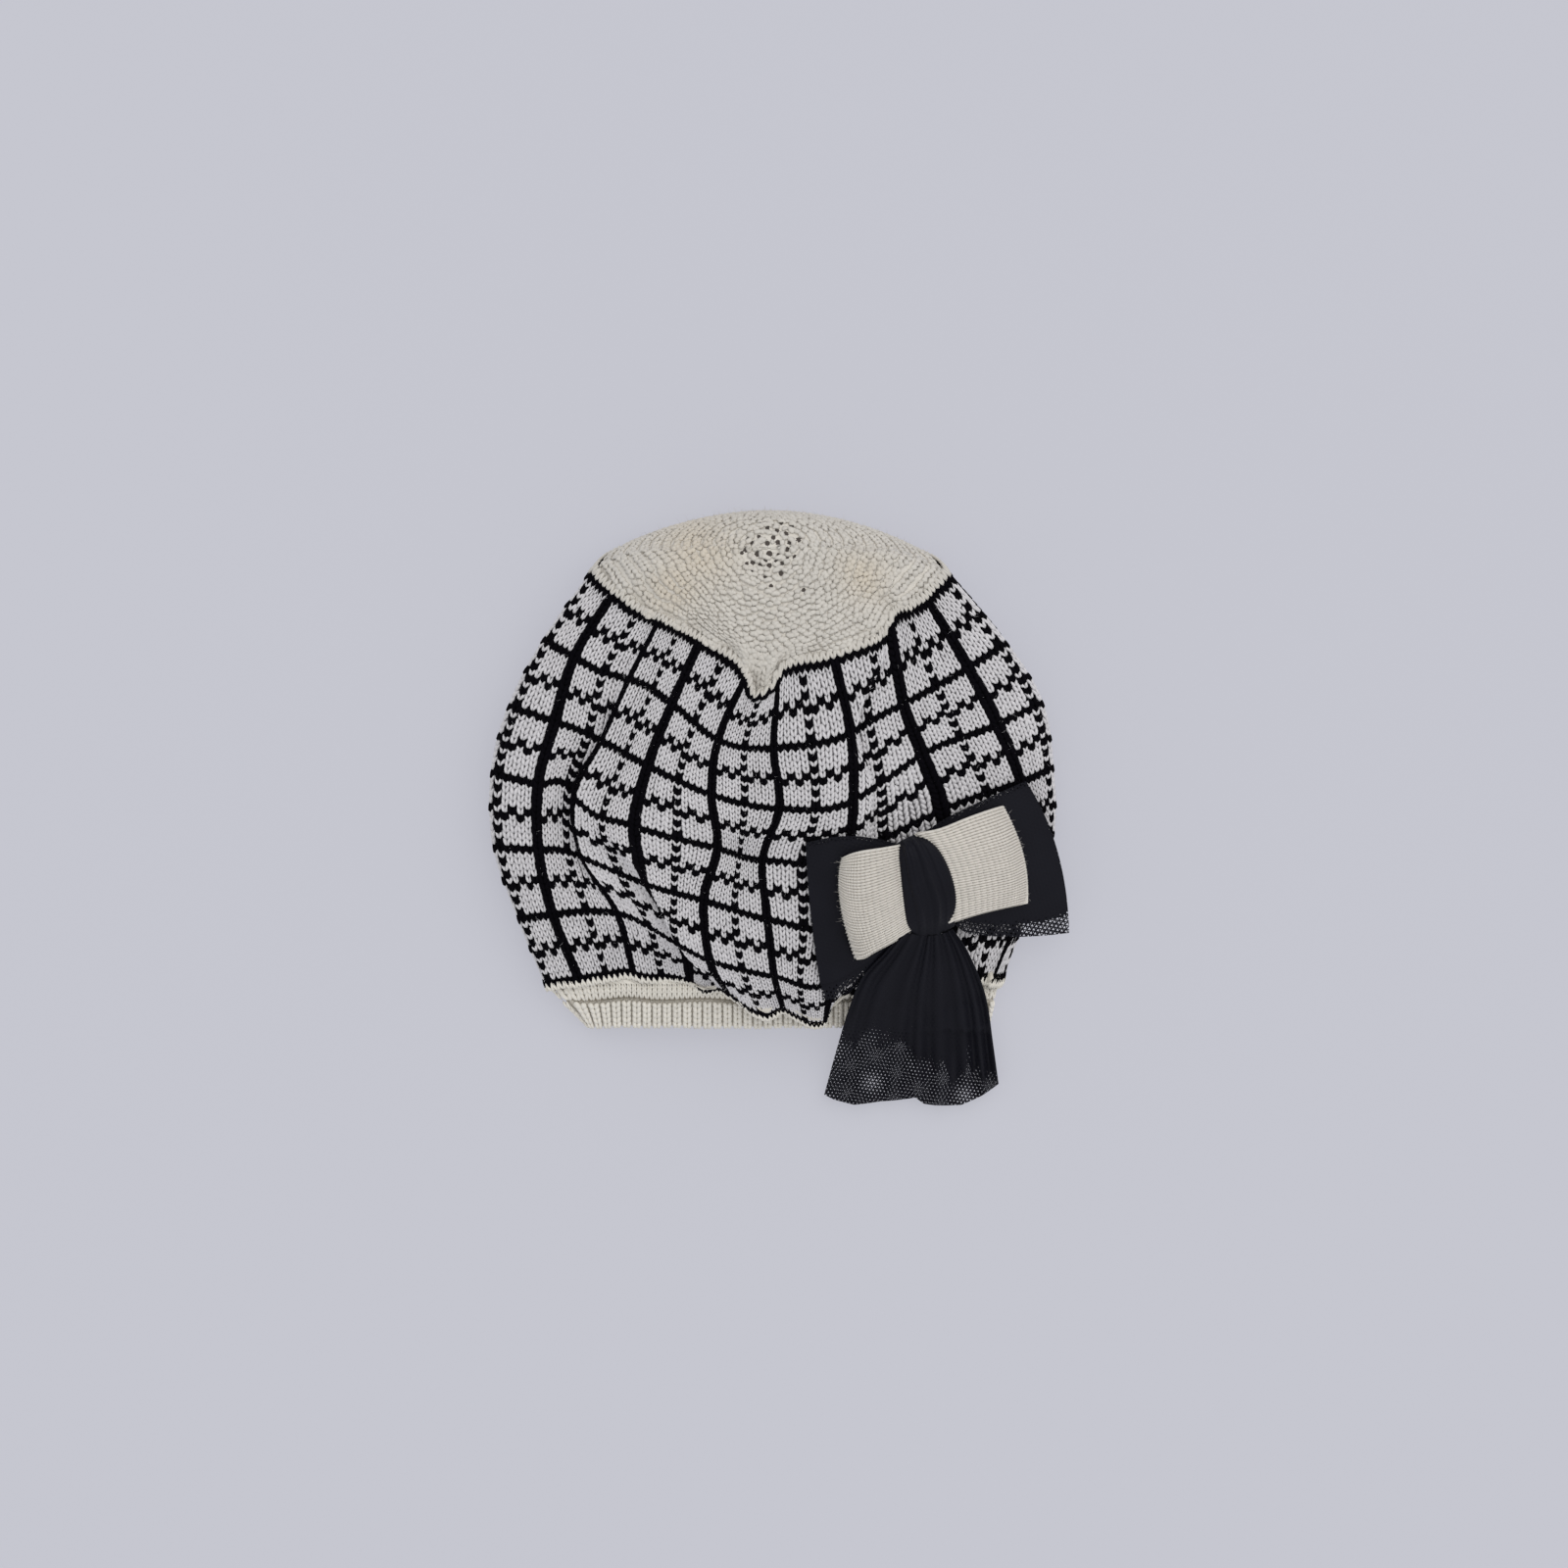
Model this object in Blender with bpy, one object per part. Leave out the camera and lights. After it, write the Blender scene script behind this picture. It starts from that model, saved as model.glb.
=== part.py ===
"""Knit beret lying on its back, with a net and knit bow sewn to its front.

The hat is one soft hollow form made of rings, from the open ribbed hem to the centre of the crown.
It lies on z = 0 with its mouth towards -Y, its crown towards +Y and its front facing up. The origin is
on its flat underside, halfway between the hem's line and the crown's far edge.
"""

import math
from collections import namedtuple

import bpy
import numpy as np
from mathutils.bvhtree import BVHTree

# Sizes of the hat as it lies, in metres
BAND_WIDTH = 0.180
BODY_WIDTH = 0.250
CROWN_WIDTH = 0.160
BAND_DEPTH = 0.0215
BODY_LENGTH = 0.1795
CROWN_REACH = 0.029
HEIGHT = 0.058
KNIT_WALL = 0.0026
SEAM_GAP = 0.0004

# Ribs of the band, gathers and folds of the body
RIB_COUNT = 21
RIB_RELIEF = 0.0007
GATHER_COUNT = 11
CROWN_GATHER_RELIEF = 0.0013
BAND_GATHER_RELIEF = 0.0008
FOLD_WIDTH = 0.010
FOLD_LIFT = 0.007

# Sizes of the bow, in metres
NET_RIBBON = 0.070
NET_WAIST = 0.035
NET_THICKNESS = 0.0012
LEFT_NET_REACH = 0.053
RIGHT_NET_REACH = 0.0545
KNIT_RIBBON = 0.0445
KNIT_WAIST = 0.035
KNIT_LAYER = 0.0017
LEFT_LOOP_REACH = 0.036
RIGHT_LOOP_REACH = 0.042
LOOP_PUFF = 0.0095
WAIST_PUFF = 0.0046
KNOT_SPAN = 0.0465
KNOT_TOP_WIDTH = 0.011
KNOT_FOOT_WIDTH = 0.020
KNOT_WALL = 0.0014
KNOT_PLEAT = 0.0006
KNOT_PLEATS = 4
KNOT_BULGE = 0.0024
TAIL_LENGTH = 0.074
TAIL_ROOT_WIDTH = 0.024
TAIL_TIP_WIDTH = 0.077
TAIL_THICKNESS = 0.0012
TAIL_PLEAT = 0.0016
TAIL_PLEATS = 6
TAIL_SAG = 0.0044
PIECE_GAP = 0.0003
FLOOR_GAP = 0.0015
ROW_RISE = 0.0015

# Place of the bow's knot on the hat: from its middle line and from the hem, and the bow's directions
BOW_X = 0.068
BOW_FROM_HEM = 0.065
BOW_TILT = math.radians(17)
TAIL_ANGLE = math.radians(-97)

# How finely the soft forms are divided; each rib of the band takes two steps
FRONT_STEPS = 2 * RIB_COUNT
BACK_STEPS = 22
RINGS_IN_A_LEVEL = 3
CROWN_RINGS_IN_A_LEVEL = 2
CURVE_SAMPLES = 241
NET_ROWS = 23
TAIL_ROWS = 15
LOOP_STEPS = 40
KNOT_STEPS = 36
SHARP_EDGE = math.radians(50)

# Form of the hat's sections: the spread of its points to the sides, the front's arch, which is flatter
# at the side edges the larger it is, and the back's; then the loops' folded ends and the knot's section
SIDE_SPREAD = 0.92
FRONT_ARCH = 1.25
BACK_ROUNDNESS = 0.5
LOOP_ROUNDNESS = 0.45
KNOT_ROUNDNESS = 0.35

# Places along the hat
LENGTH = BAND_DEPTH + BODY_LENGTH + CROWN_REACH
HEM_Y = -LENGTH / 2
BODY_START = HEM_Y + BAND_DEPTH
CROWN_START = BODY_START + BODY_LENGTH
BOW_Y = HEM_Y + BOW_FROM_HEM
NECK_REACH = 0.66 * KNOT_FOOT_WIDTH

# The three stretches of the hat: their width, where they start and how far they run along the hat
Stretch = namedtuple("Stretch", "width start span")
BAND = Stretch(BAND_WIDTH, HEM_Y, BAND_DEPTH)
SEAM = Stretch(BODY_WIDTH, HEM_Y, BAND_DEPTH)
BODY = Stretch(BODY_WIDTH, BODY_START, BODY_LENGTH)
EDGE = Stretch(CROWN_WIDTH, BODY_START, BODY_LENGTH)
CROWN = Stretch(CROWN_WIDTH, CROWN_START, CROWN_REACH)

# Rings of the hat from the hem to the centre of the crown. left and right are shares of half the width.
# side, front and back say how far along the ring lies at its side edges, its front and its back, as
# shares of the stretch. edge, top and under are heights as shares of HEIGHT. dip_left and dip_right
# say how narrow the front's downward dip is, and dip_at where it is lowest.
Ring = namedtuple("Ring", "name stretch left right side front back edge top under dip_left dip_right dip_at")
RINGS = [
    Ring("hem", BAND, -0.92, 1.06, 0.20, 0.04, 0.30, 0.13, 0.29, -0.05, 1.0, 1.0, 0.0),
    Ring("band_seam", SEAM, -0.81, 0.81, 1.00, 0.25, 1.45, 0.24, 0.47, -0.10, 9.0, 9.0, 0.10),
    Ring("low", BODY, -0.92, 0.91, 0.153, 0.030, 0.24, 0.30, 0.68, -0.10, 4.0, 4.0, 0.05),
    Ring("belly", BODY, -0.995, 0.988, 0.329, 0.162, 0.41, 0.32, 0.82, -0.10, 2.6, 2.6, 0.0),
    Ring("widest", BODY, -0.994, 0.999, 0.513, 0.300, 0.585, 0.34, 0.92, -0.10, 1.9, 1.9, 0.0),
    Ring("shoulder", BODY, -0.925, 0.935, 0.684, 0.428, 0.755, 0.36, 0.98, -0.10, 1.8, 1.8, 0.0),
    Ring("upper", BODY, -0.800, 0.811, 0.839, 0.577, 0.93, 0.38, 1.00, -0.10, 1.8, 1.6, -0.02),
    Ring("crown_seam", EDGE, -1.00, 0.98, 1.00, 0.740, 1.103, 0.42, 0.97, 0.03, 2.0, 1.3, -0.02),
    Ring("crown_outer", CROWN, -0.79, 0.735, 0.36, -1.21, 0.92, 0.60, 1.00, 0.20, 1.6, 1.1, 0.0),
    Ring("crown_middle", CROWN, -0.544, 0.489, 0.41, -0.67, 1.00, 0.76, 0.98, 0.48, 1.0, 0.8, 0.0),
    Ring("crown_inner", CROWN, -0.288, 0.234, 0.455, -0.115, 0.88, 0.86, 0.94, 0.76, 0.6, 0.6, 0.0),
    Ring("centre", CROWN, -0.028, -0.027, 0.44, 0.44, 0.44, 0.90, 0.90, 0.90, 0.5, 0.5, 0.0),
]
BAND_SEAM_LEVEL = 1
CROWN_SEAM_LEVEL = 7
CENTRE_LEVEL = len(RINGS) - 1

# Where the gathers at the two seams are strongest and over how many levels they fade out
Fade = namedtuple("Fade", "middle reach")
CROWN_GATHER = Fade(CROWN_SEAM_LEVEL - 0.6, 1.3)
BAND_GATHER = Fade(BAND_SEAM_LEVEL + 0.6, 0.8)

# Folds of the body's front. The four points of each curved path are shares of half the body's width
# and of the whole length; width is a share of FOLD_WIDTH, lift and dip are shares of FOLD_LIFT, and
# slide says how far the cloth on both sides is drawn to the path, as a share of the fold's width.
Fold = namedtuple("Fold", "name x0 y0 x1 y1 x2 y2 x3 y3 width slide lift dip")
FOLDS = [
    Fold("slouch", -0.69, 0.54, -0.80, 0.35, -0.42, 0.25, -0.06, 0.04, 1.0, 0.45, 1.0, 0.35),
    Fold("side_pleat", 0.40, 0.755, 0.33, 0.68, 0.31, 0.55, 0.335, 0.36, 0.8, 0.40, -0.6, 0.3),
    Fold("crown_gather", -0.035, 0.70, -0.02, 0.66, 0.00, 0.60, 0.00, 0.54, 1.1, 0.25, 0.0, 0.6),
    Fold("waist_crease", -0.19, 0.375, -0.14, 0.42, -0.05, 0.42, 0.03, 0.435, 0.8, 0.35, 0.35, 0.2),
]
FOLD_SAMPLES = 41

# Shape across a fold, in widths of the fold: how far its hollow and its rolled side reach, how quickly
# the rolled side rises, and the share of the rise that lies below the cloth's own level
HOLLOW_REACH = 1.1
ROLL_REACH = 2.3
ROLL_STEEPNESS = 2.0
ROLL_LEVEL = 0.4
FOLD_TAPER = 0.6

# Finishes of the sub-parts: colour, roughness and sheen
Finish = namedtuple("Finish", "name red green blue roughness sheen")
FINISHES = {
    "cream_knit": Finish("cream_knit", 0.73, 0.69, 0.58, 0.95, 0.2),
    "checked_knit": Finish("checked_knit", 0.45, 0.45, 0.44, 0.95, 0.2),
    "black_net": Finish("black_net", 0.012, 0.012, 0.016, 0.75, 0.3),
}


def clear_scene():
    for old in list(bpy.data.objects):
        bpy.data.objects.remove(old, do_unlink=True)


def through_points(rows, place):
    """Smooth curve through the rows of a table, read at a place counted in rows."""
    last = len(rows) - 1
    row = min(int(place), last - 1)
    part = place - row
    before = rows[max(row - 1, 0)]
    here = rows[row]
    after = rows[row + 1]
    beyond = rows[min(row + 2, last)]
    straight = (after - before) * part
    bend = (2 * before - 5 * here + 4 * after - beyond) * part ** 2
    twist = (3 * here - before - 3 * after + beyond) * part ** 3
    return here + 0.5 * (straight + bend + twist)


def ring_sizes():
    """The ring table in metres: one row of numbers for each ring."""
    rows = []
    for ring in RINGS:
        half = ring.stretch.width / 2
        rows.append([ring.left * half, ring.right * half,
                     ring.stretch.start + ring.stretch.span * ring.side,
                     ring.stretch.start + ring.stretch.span * ring.front,
                     ring.stretch.start + ring.stretch.span * ring.back,
                     ring.edge * HEIGHT, ring.top * HEIGHT, ring.under * HEIGHT,
                     ring.dip_left, ring.dip_right, ring.dip_at])
    return np.array(rows)


RING_SIZES = ring_sizes()


def ring_outline(level):
    """Front and back half of one ring, both from the left edge to the right edge."""
    left, right, side, front, back, edge, top, under, dip_left, dip_right, dip_at = \
        through_points(RING_SIZES, level)
    turn = np.linspace(0.0, math.pi, CURVE_SAMPLES)
    across = -np.cos(turn)
    rise = np.sin(turn)
    x = (left + right) / 2 + (right - left) / 2 * np.sign(across) * np.abs(across) ** SIDE_SPREAD
    from_dip = (across - dip_at) / (1 - dip_at * across)
    dip = np.where(from_dip < 0, dip_left, dip_right)
    front_y = side + (front - side) * np.clip(1 - from_dip ** 2, 0, 1) ** dip
    front_z = edge + (top - edge) * rise.clip(0, 1) ** FRONT_ARCH
    back_y = side + (back - side) * rise
    back_z = np.maximum(edge + (under - edge) * rise.clip(0, 1) ** BACK_ROUNDNESS, 0.0)
    return np.stack([x, front_y, front_z], 1), np.stack([x, back_y, back_z], 1)


def evenly_spaced(points, steps):
    """Points at even steps along a curve, its two ends included."""
    walked = np.r_[0.0, np.cumsum(np.linalg.norm(np.diff(points, axis=0), axis=1))]
    wanted = np.linspace(0.0, walked[-1], steps + 1)
    return np.stack([np.interp(wanted, walked, points[:, axis]) for axis in range(3)], 1)


def gathers(level, front_share):
    """Height of the soft gathers that run down from the crown's seam and up from the band's seam."""
    from_crown = CROWN_GATHER_RELIEF * math.exp(-((level - CROWN_GATHER.middle) / CROWN_GATHER.reach) ** 2)
    from_band = BAND_GATHER_RELIEF * math.exp(-((level - BAND_GATHER.middle) / BAND_GATHER.reach) ** 2)
    wave = np.cos(2 * math.pi * GATHER_COUNT * front_share)
    return (from_crown + from_band) * wave * np.sin(math.pi * front_share)


def fold_path(fold):
    """A fold's curved path in plan, in metres."""
    t = np.linspace(0.0, 1.0, FOLD_SAMPLES)[:, None]
    corners = [np.array([x * BODY_WIDTH / 2, HEM_Y + y * LENGTH]) for x, y in
               [(fold.x0, fold.y0), (fold.x1, fold.y1), (fold.x2, fold.y2), (fold.x3, fold.y3)]]
    weights = [(1 - t) ** 3, 3 * t * (1 - t) ** 2, 3 * t ** 2 * (1 - t), t ** 3]
    return sum(weight * corner for weight, corner in zip(weights, corners))


def fold_cloth(points, strength):
    """Slide and lift the front's points where the folds run; strength fades it out towards the back."""
    for fold in FOLDS:
        path = fold_path(fold)
        away = points[:, None, :2] - path[None, :, :]
        distance = np.linalg.norm(away, axis=2)
        nearest = distance.argmin(axis=1)
        direction = np.gradient(path, axis=0)[nearest]
        direction /= np.linalg.norm(direction, axis=1)[:, None]
        left_of_path = np.stack([-direction[:, 1], direction[:, 0]], 1)
        offset = away[np.arange(len(points)), nearest]
        signed = (offset * left_of_path).sum(1)
        width = fold.width * FOLD_WIDTH
        reach = distance[np.arange(len(points)), nearest] / width
        taper = np.sin(math.pi * nearest / (FOLD_SAMPLES - 1)).clip(0, 1) ** FOLD_TAPER * strength
        pull = fold.slide * signed * np.exp(0.5 - 0.5 * reach ** 2) * taper
        points[:, :2] -= left_of_path * pull[:, None]
        side = 0.5 * (1 + np.tanh(ROLL_STEEPNESS * signed / width)) - ROLL_LEVEL
        roll = fold.lift * side * np.exp(-(reach / ROLL_REACH) ** 2)
        hollow = fold.dip * np.exp(-(reach / HOLLOW_REACH) ** 2)
        points[:, 2] += FOLD_LIFT * (roll - hollow) * taper
    return points


def ring_loop(level):
    """One closed ring of the outer surface, from the left edge over the front and back under."""
    front, back = ring_outline(level)
    front = evenly_spaced(front, FRONT_STEPS)
    back = evenly_spaced(back, BACK_STEPS)[1:-1][::-1]
    share = np.linspace(0.0, 1.0, FRONT_STEPS + 1)
    in_body = np.clip(min(level - BAND_SEAM_LEVEL, CENTRE_LEVEL - 1 - level), 0.0, 1.0)
    front[:, 2] += gathers(level, share)
    front = fold_cloth(front, np.sqrt(np.sin(math.pi * share).clip(0, 1)) * in_body)
    if level <= BAND_SEAM_LEVEL:
        rib = RIB_RELIEF * np.cos(2 * math.pi * RIB_COUNT * share) * np.sin(math.pi * share)
        front[:, 2] += rib * (BAND_SEAM_LEVEL - level)
    return np.concatenate([front, back])


def make_object(name, vertices, faces, finish):
    mesh = bpy.data.meshes.new(name)
    mesh.from_pydata([tuple(v) for v in vertices], [], faces)
    mesh.validate()
    mesh.shade_smooth()
    mesh.set_sharp_from_angle(angle=SHARP_EDGE)
    material = bpy.data.materials.get(finish) or make_material(FINISHES[finish])
    mesh.materials.append(material)
    piece = bpy.data.objects.new(name, mesh)
    bpy.context.collection.objects.link(piece)
    return piece


def make_material(finish):
    material = bpy.data.materials.new(finish.name)
    material.use_nodes = True
    shader = material.node_tree.nodes["Principled BSDF"]
    shader.inputs["Base Color"].default_value = (finish.red, finish.green, finish.blue, 1.0)
    shader.inputs["Roughness"].default_value = finish.roughness
    shader.inputs["Metallic"].default_value = 0.0
    shader.inputs["Sheen Weight"].default_value = finish.sheen
    return material


def strip(first, second, closed):
    """Quads between two rows of vertex numbers."""
    count = len(first)
    steps = count if closed else count - 1
    return [(first[k], first[(k + 1) % count], second[(k + 1) % count], second[k]) for k in range(steps)]


def rim(outer_row, inner_row, faces_back):
    """Triangles between an outer and an inner ring, cut the same way on both sides of a seam."""
    count = len(outer_row)
    faces = []
    for k in range(count):
        after = (k + 1) % count
        pair = [(outer_row[k], outer_row[after], inner_row[after]),
                (outer_row[k], inner_row[after], inner_row[k])]
        faces += [face[::-1] for face in pair] if faces_back else pair
    return faces


def hat_levels(start, end):
    density = CROWN_RINGS_IN_A_LEVEL if end == CENTRE_LEVEL else RINGS_IN_A_LEVEL
    steps = round((end - start) * density)
    return np.linspace(start, end, steps + 1)


def hat_piece(name, start, end, finish):
    """A stretch of the hat's wall between two levels; the one that ends at the centre is closed there."""
    closes = end == CENTRE_LEVEL
    levels = hat_levels(start, end)
    if closes:
        levels = levels[:-1]
    margin = 0.02
    outer = np.array([ring_loop(level) for level in levels])
    before = np.array([ring_loop(max(level - margin, 0.0)) for level in levels])
    after = np.array([ring_loop(min(level + margin, CENTRE_LEVEL)) for level in levels])
    around = np.roll(outer, -1, axis=1) - np.roll(outer, 1, axis=1)
    along = after - before
    along /= np.linalg.norm(along, axis=2, keepdims=True)
    normal = np.cross(around, along)
    normal /= np.linalg.norm(normal, axis=2, keepdims=True)
    if start > 0:
        outer[0] += along[0] * SEAM_GAP / 2
    if not closes:
        outer[-1] -= along[-1] * SEAM_GAP / 2
    inner = outer - normal * KNIT_WALL
    count = outer.shape[1]
    rows = len(levels)
    vertices = list(outer.reshape(-1, 3)) + list(inner.reshape(-1, 3))
    outside = [[row * count + k for k in range(count)] for row in range(rows)]
    inside = [[(rows + row) * count + k for k in range(count)] for row in range(rows)]
    faces = []
    for row in range(rows - 1):
        faces += strip(outside[row], outside[row + 1], True)
        faces += strip(inside[row + 1], inside[row], True)
    faces += rim(outside[0], inside[0], True)
    if closes:
        top = ring_loop(CENTRE_LEVEL).mean(axis=0)
        vertices += [top, top - np.array([0.0, 0.0, KNIT_WALL])]
        peak = len(vertices) - 2
        faces += [(outside[-1][k], outside[-1][(k + 1) % count], peak) for k in range(count)]
        faces += [(inside[-1][(k + 1) % count], inside[-1][k], peak + 1) for k in range(count)]
    else:
        faces += rim(outside[-1], inside[-1], False)
    return make_object(name, vertices, faces, finish)


def height_finder(pieces):
    """A function that gives the height of the uppermost piece under a point in plan, or None."""
    vertices, faces = [], []
    for piece in pieces:
        first = len(vertices)
        vertices += [v.co.copy() for v in piece.data.vertices]
        faces += [[first + k for k in face.vertices] for face in piece.data.polygons]
    tree = BVHTree.FromPolygons(vertices, faces)
    above = 2 * HEIGHT

    def height(x, y):
        hit = tree.ray_cast((x, y, above), (0.0, 0.0, -1.0))[0]
        return None if hit is None else hit.z

    return height


# Stations of the bow from its left tip to its right tip: distance from the knot, direction of the
# bow's length and of its edge in degrees, width, and height of the loop there
Station = namedtuple("Station", "name along axis edge width puff")
NET_STATIONS = [
    Station("left_tip", -LEFT_NET_REACH, 18.4, 96.1, NET_RIBBON, 0.0),
    Station("left_middle", -LEFT_NET_REACH / 2, 18.0, 101.0, (NET_RIBBON + NET_WAIST) / 2, 0.0),
    Station("left_neck", -NECK_REACH, 17.0, 104.0, NET_WAIST, 0.0),
    Station("right_neck", NECK_REACH, 17.0, 106.5, NET_WAIST, 0.0),
    Station("right_middle", RIGHT_NET_REACH / 2, 13.0, 105.5, (NET_RIBBON + NET_WAIST) / 2, 0.0),
    Station("right_tip", RIGHT_NET_REACH, 10.9, 104.6, NET_RIBBON, 0.0),
]
KNIT_STATIONS = [
    Station("left_tip", -LEFT_LOOP_REACH, 20.0, 100.1, KNIT_RIBBON, LOOP_PUFF * 0.75),
    Station("left_middle", -LEFT_LOOP_REACH * 0.6, 20.0, 100.1, KNIT_RIBBON, LOOP_PUFF),
    Station("left_neck", -NECK_REACH, 18.5, 104.0, KNIT_WAIST, WAIST_PUFF),
    Station("right_neck", NECK_REACH, 18.5, 106.5, KNIT_WAIST, WAIST_PUFF),
    Station("right_middle", RIGHT_LOOP_REACH * 0.6, 17.5, 105.5, KNIT_RIBBON, LOOP_PUFF),
    Station("right_tip", RIGHT_LOOP_REACH, 17.5, 104.7, KNIT_RIBBON, LOOP_PUFF * 0.75),
]


def station_at(stations, along):
    """The bow's direction, edge direction, width and puff at a distance from the knot."""
    places = [station.along for station in stations]
    read = [np.interp(along, places, [getattr(station, field) for station in stations])
            for field in ("axis", "edge", "width", "puff")]
    return math.radians(read[0]), math.radians(read[1]), read[2], read[3]


def bow_point(stations, along, across):
    """Plan position on the bow: along its length from the knot, across as a share of its width."""
    axis, edge, width, _ = station_at(stations, along)
    x = BOW_X + along * math.cos(axis) + across * width * math.cos(edge)
    y = BOW_Y + along * math.sin(axis) + across * width * math.sin(edge)
    return x, y


def tail_point(along, across):
    """Plan position on the tail: along from the knot's foot, across as a share of its width."""
    root_x, root_y = tail_root()
    side = BOW_TILT + (TAIL_ANGLE + math.pi / 2 - BOW_TILT) * along ** 0.6
    width = TAIL_ROOT_WIDTH + (TAIL_TIP_WIDTH - TAIL_ROOT_WIDTH) * along ** 0.5
    down = along * (TAIL_LENGTH + TAIL_SAG * (1 - (2 * across) ** 2))
    x = root_x + down * math.cos(TAIL_ANGLE) + across * width * math.cos(side)
    y = root_y + down * math.sin(TAIL_ANGLE) + across * width * math.sin(side)
    return x, y


def tail_root():
    """Place in plan where the tail starts, just past the knot's foot."""
    edge = BOW_TILT + math.pi / 2
    reach = KNOT_SPAN / 2 + PIECE_GAP
    return BOW_X - reach * math.cos(edge), BOW_Y - reach * math.sin(edge)


# The bed is fitted to the hat's top under the bow and the upper part of the tail, and eases to the floor
BED_STEPS = 11
BED_TAIL_SHARE = 0.85
BED_LOWEST = 0.3
BED_SOFTNESS = 0.004


def bow_bed(height):
    """A smooth bed over the hat that the whole bow lies on, as a function of the plan position."""
    steps_across = np.linspace(-0.5, 0.5, BED_STEPS)
    spots = [bow_point(NET_STATIONS, along, across)
             for along in np.linspace(-LEFT_NET_REACH, RIGHT_NET_REACH, BED_STEPS)
             for across in steps_across]
    spots += [tail_point(along, across)
              for along in np.linspace(0.0, BED_TAIL_SHARE, BED_STEPS)
              for across in steps_across]
    found = [(x, y, height(x, y)) for x, y in spots]
    found = np.array([spot for spot in found if spot[2] is not None and spot[2] > BED_LOWEST * HEIGHT])

    def terms(x, y):
        u = (x - BOW_X) / BODY_WIDTH
        w = (y - BOW_Y) / BODY_WIDTH
        return np.stack([np.ones_like(u), u, w, u * u, u * w, w * w, w * w * w], -1)

    share = np.linalg.lstsq(terms(found[:, 0], found[:, 1]), found[:, 2], rcond=None)[0]
    fitted = terms(found[:, 0], found[:, 1]) @ share
    raise_by = (found[:, 2] - fitted).max() + PIECE_GAP

    def bed(x, y):
        value = terms(np.asarray(x, float), np.asarray(y, float)) @ share + raise_by
        low = FLOOR_GAP + TAIL_PLEAT
        return low + BED_SOFTNESS * np.logaddexp(0.0, (value - low) / BED_SOFTNESS)

    return bed


def sheet_solid(name, rows, thickness, finish):
    """A closed sheet: rows of lower points, and the same points raised by the thickness."""
    count = len(rows[0])
    lower = [point for row in rows for point in row]
    upper = [(x, y, z + thickness) for x, y, z in lower]
    vertices = lower + upper
    shift = len(lower)
    number = [[row * count + k for k in range(count)] for row in range(len(rows))]
    faces = []
    for first, second in zip(number[:-1], number[1:]):
        faces += strip(first, second, False)
        faces += strip([k + shift for k in second], [k + shift for k in first], False)
    right_edge = [row[-1] for row in number[1:-1]]
    left_edge = [row[0] for row in number[1:-1]]
    border = number[0] + right_edge + number[-1][::-1] + left_edge[::-1]
    faces += strip([k + shift for k in border], border, True)
    return make_object(name, vertices, faces, finish)


def raised_clear(rows, height):
    """The same rows, raised where they would touch the hat, by amounts that change gently."""
    need = []
    for row in rows:
        under = [(z, height(x, y)) for x, y, z in row]
        need.append(max([top + PIECE_GAP - z for z, top in under if top is not None], default=0.0))
    lift = [max(0.0, max(n - ROW_RISE * abs(row - other) for other, n in enumerate(need)))
            for row in range(len(rows))]
    return [[(x, y, z + up) for x, y, z in row] for row, up in zip(rows, lift)]


def knot_level():
    """Height above the bed at which the net's waist starts, over the knot's lower wall."""
    return KNOT_WALL + PIECE_GAP


def make_net_bow(bed, height):
    """The net ribbon behind the loops, lying on the hat and rising over the knot's lower wall."""
    rows = []
    for along in np.linspace(-LEFT_NET_REACH, RIGHT_NET_REACH, NET_ROWS):
        near_knot = math.exp(-(along / (1.4 * NECK_REACH)) ** 6)
        row = []
        for across in np.linspace(-0.5, 0.5, 9):
            x, y = bow_point(NET_STATIONS, along, across)
            row.append((x, y, float(bed(x, y)) + knot_level() * near_knot))
        rows.append(row)
    return sheet_solid("net_bow", raised_clear(rows, height), NET_THICKNESS, "black_net")


def loop_profile(shrink, layer_gap):
    """Side view of the knit loop: distances from the knot and heights, round both folded ends."""
    left = -LEFT_LOOP_REACH + shrink
    right = RIGHT_LOOP_REACH - shrink
    turn = np.linspace(0.0, 2 * math.pi, LOOP_STEPS, endpoint=False)
    swing = np.cos(turn)
    along = np.where(swing > 0, swing * right, -swing * left)
    half = []
    for place, angle in zip(along, turn):
        puff = station_at(KNIT_STATIONS, place)[3]
        end = abs(math.sin(angle)) ** LOOP_ROUNDNESS
        half.append(max(puff / 2 - shrink, layer_gap / 2) * math.copysign(end, math.sin(angle)))
    return along, np.array(half)


def make_knit_bow(bed):
    """The knit ribbon: one flattened loop, open above and below and pinched at its waist."""
    level = knot_level() + NET_THICKNESS + PIECE_GAP
    across_steps = np.linspace(-0.5, 0.5, 7)
    vertices, rings = [], []
    for shrink, gap in ((0.0, WAIST_PUFF), (KNIT_LAYER, PIECE_GAP)):
        along, half = loop_profile(shrink, gap)
        for across in across_steps:
            rings.append(list(range(len(vertices), len(vertices) + len(along))))
            for place, rise in zip(along, half):
                x, y = bow_point(KNIT_STATIONS, place, across)
                middle = station_at(KNIT_STATIONS, place)[3] / 2
                vertices.append((x, y, float(bed(x, y)) + level + middle + rise))
    outer = rings[:len(across_steps)]
    inner = rings[len(across_steps):]
    faces = []
    for row in range(len(across_steps) - 1):
        faces += strip(outer[row + 1], outer[row], True)
        faces += strip(inner[row], inner[row + 1], True)
    faces += strip(outer[0], inner[0], True)
    faces += strip(inner[-1], outer[-1], True)
    return make_object("knit_bow", vertices, faces, "cream_knit")


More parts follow.
